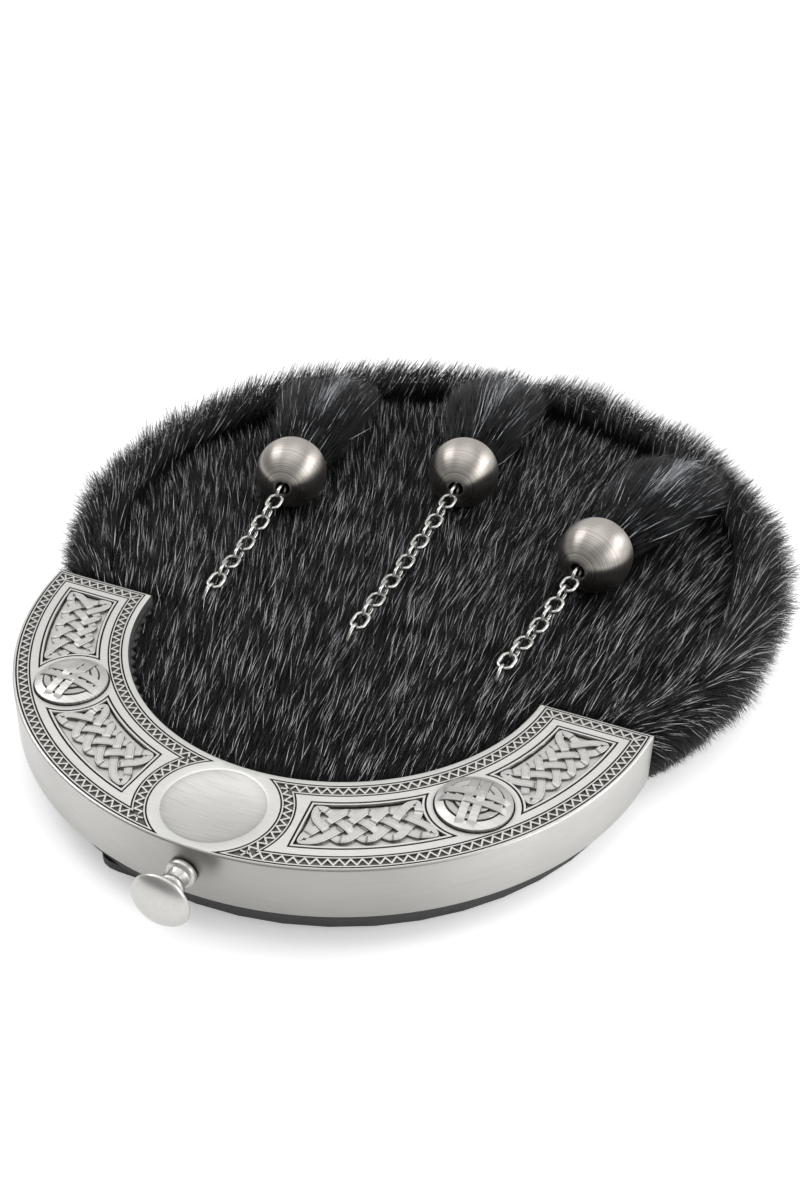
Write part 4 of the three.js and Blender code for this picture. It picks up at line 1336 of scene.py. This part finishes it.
# The core is slimmer than the tail and lies a little lower, and starts and ends inside it.
tailCore = {"width": 0.82, "height": 0.72, "lower": 0.8, "start": 1.6, "end": 0.9}

# The tails' long guard hairs. A streak of hairs painted pale as glints runs along the top: a painted
# highlight along the ridge.
tailHair = {
    "length": (11, 19),
    "width": (0.11, 0.17),
    "glintWider": 0.07,
    "glintShare": 0.03,
    "streak": {"angle": 84, "half": 11, "share": 0.5},
    "rise": 11,
    "droop": 6,
    "tipDroop": 22,
    "clump": {"size": 3.2, "pull": 0.5},
}


def tailSurface(tassel, at, angle):
    # A point on a tail's core, the angle measured round its section from one side over the top
    along, across = tailAxes(tassel)
    headEnd, tableEnd = tailTable["at"][1], tailTable["at"][-1]
    stretch = (tableEnd - headEnd) / (tassel["length"] - headEnd)
    scaled = np.where(at < headEnd, at, headEnd + (at - headEnd) * stretch)
    halfWidth = np.interp(scaled, tailTable["at"], tailTable["halfWidth"]) * tailCore["width"]
    halfHeight = np.interp(scaled, tailTable["at"], tailTable["halfHeight"]) * tailCore["height"]
    middle = np.interp(scaled, tailTable["at"], tailTable["lowZ"]) + halfHeight / tailCore["height"]
    high = middle - tailCore["lower"] + halfHeight * np.sin(angle)
    flat = np.array([*tassel["ball"][:2], 0.0]) + along * at[..., None]
    return flat + across * (halfWidth * np.cos(angle))[..., None] + np.array([0, 0, 1.0]) * high[..., None]


def buildTail(tassel):
    stations, sides = 22, 24
    at = np.linspace(tailCore["start"], tassel["length"] * tailCore["end"], stations)
    angle = np.linspace(0, 2 * math.pi, sides, endpoint=False)
    grid = tailSurface(tassel, np.repeat(at, sides), np.tile(angle, stations))
    core = pieceFromArrays("tail_core_" + tassel["side"], grid, ringFaces(stations, sides))
    capEnds(core, sides)
    finishPiece(core, underfur, "tassel_fur", "tail_" + tassel["side"])


def growTail(tassel):
    random = np.random.default_rng(30 + len(tassel["side"]))
    count = hairCounts["tail"]
    across = tailAxes(tassel)[1]
    coreLength = tassel["length"] * tailCore["end"] - tailCore["start"]
    at = tailCore["start"] + coreLength * random.uniform(0, 1, count) ** 0.8
    angle = random.uniform(math.radians(-25), math.radians(205), count)
    roots = tailSurface(tassel, at, angle)
    beside = tailSurface(tassel, at, angle + 0.05)
    ahead = tailSurface(tassel, at + 0.5, angle)
    normals = unit(np.cross(beside - roots, ahead - roots))
    centre = tailSurface(tassel, at, angle * 0 + math.pi / 2) * [1, 1, 0] + [0, 0, 26]
    normals *= np.sign(np.sum(normals * (roots - centre), -1, keepdims=True) + 1e-9)
    flows = unit(ahead - roots) + random.normal(0, 0.07, (count, 3))
    flows = flows + 0.1 * waveNoise(roots, 6, 40)[:, None] * across
    rises = tailHair["rise"] + 5 * waveNoise(roots, 9, 41) + random.normal(0, 4, count)
    rises = np.clip(rises - 4 * smoothstep(at, 20, 50), 2, 26)
    lengths = random.uniform(*tailHair["length"], count)
    lengths = np.clip(lengths, 3, tassel["length"] + 3 - at + random.uniform(-8, 3, count))
    lengths *= 1 - 0.5 * np.cos(angle) ** 2 * smoothstep(at, 24, 44)
    streak = tailHair["streak"]
    # Painted highlight: a streak of glint hairs along the tail's top
    ridge = np.exp(-((np.degrees(angle) - streak["angle"]) / streak["half"]) ** 2) * smoothstep(at, 10, 24)
    glint = glintHairs(random, count, tailHair["glintShare"] + streak["share"] * ridge)
    coat = {"roots": roots, "normals": normals, "flows": flows, "lengths": lengths, "rises": rises,
            "droops": tailHair["droop"] + tailHair["tipDroop"] * smoothstep(at, 30, 50), "glint": glint,
            "widths": hairWidths(random, tailHair, glint)}
    growHair("tail_hair_" + tassel["side"], coat, tailHair["clump"], 33, tasselFur, "tassel_fur")


for tassel in tassels:
    buildTail(tassel)
    growTail(tassel)
print("tails made")

for name in ("leather_gusset", "back_panel", "closing_flap", "strap_loop_left", "strap_loop_right",
             "pinked_edging"):
    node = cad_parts[name]
    node.data.materials.clear()
    node.data.materials.append(leather)
print("leather finished")

# The stage: a white table lit a little from below, a white room and four soft lights.
deselectAll()
bpy.ops.mesh.primitive_plane_add(size=8, location=(0, 0, -0.0003))
floor = bpy.context.object
floor.name = "floor"
white = toLinear("#FFFFFF")
floorMaterial = startMaterial("Matt white light table", Roughness=0.85, Base_Color=toLinear("#F2F2F2"),
                              Emission_Color=white, Emission_Strength=0.36)[0]
floor.data.materials.append(floorMaterial)

# The room is brighter behind and to the right, and dimmer where the camera stands.
world = bpy.data.worlds.new("White room")
bpy.context.scene.world = world
world.use_nodes = True
room = world.node_tree
way = addNode(room, "ShaderNodeTexCoord").outputs["Generated"]
across = addNode(room, "ShaderNodeVectorMath", {1: (0.42, 0.85, 0.32)}, {0: way}, operation="DOT_PRODUCT")
glow = addNode(room, "ShaderNodeMapRange",
               {"From Min": -0.9, "From Max": 0.9, "To Min": 0.32, "To Max": 0.95},
               {"Value": across.outputs["Value"]}, interpolation_type="SMOOTHSTEP")
plug(room, room.nodes["Background"], {"Strength": glow.outputs[0]})
room.nodes["Background"].inputs["Color"].default_value = white


def addSoftbox(name, place, size, power):
    # A square soft light aimed at the object's middle
    light = bpy.data.lights.new(name, "AREA")
    light.size = size
    light.energy = power
    box = addObject(name, light)
    box.location = place
    box.rotation_euler = (-Vector(place)).to_track_quat("-Z", "Y").to_euler()


addSoftbox("Light overhead", (-0.1, 0.1, 1.3), 1.4, 6)
addSoftbox("Light above left", (-0.8, 0.1, 0.8), 0.5, 3.5)
addSoftbox("Light behind right", (0.8, 0.5, 0.6), 0.5, 3.5)
addSoftbox("Light low right", (0.9, -0.1, 0.4), 0.5, 2.5)

# The camera stands where the photograph's did: before and above the cantle's right end, looking across.
cameraPlace = {
    "at": (0.12539, -0.29754, 0.24159),
    "azimuth": 22.43,
    "elevation": 34.95,
    "roll": 1.586,
    "lens": 47.38,
}
azimuth, elevation = math.radians(cameraPlace["azimuth"]), math.radians(cameraPlace["elevation"])
level = math.cos(elevation)
forward = Vector((-math.sin(azimuth) * level, math.cos(azimuth) * level, -math.sin(elevation)))
lens = bpy.data.cameras.new("Camera")
lens.lens = cameraPlace["lens"]
lens.sensor_width = 36
cameraObject = addObject("Camera", lens)
cameraObject.location = cameraPlace["at"]
cameraObject.rotation_mode = "QUATERNION"
roll = Quaternion((0, 0, 1), math.radians(cameraPlace["roll"]))
cameraObject.rotation_quaternion = forward.to_track_quat("-Z", "Y") @ roll
bpy.context.scene.camera = cameraObject
bpy.context.scene.view_settings.view_transform = "Standard"

print("scene finished")
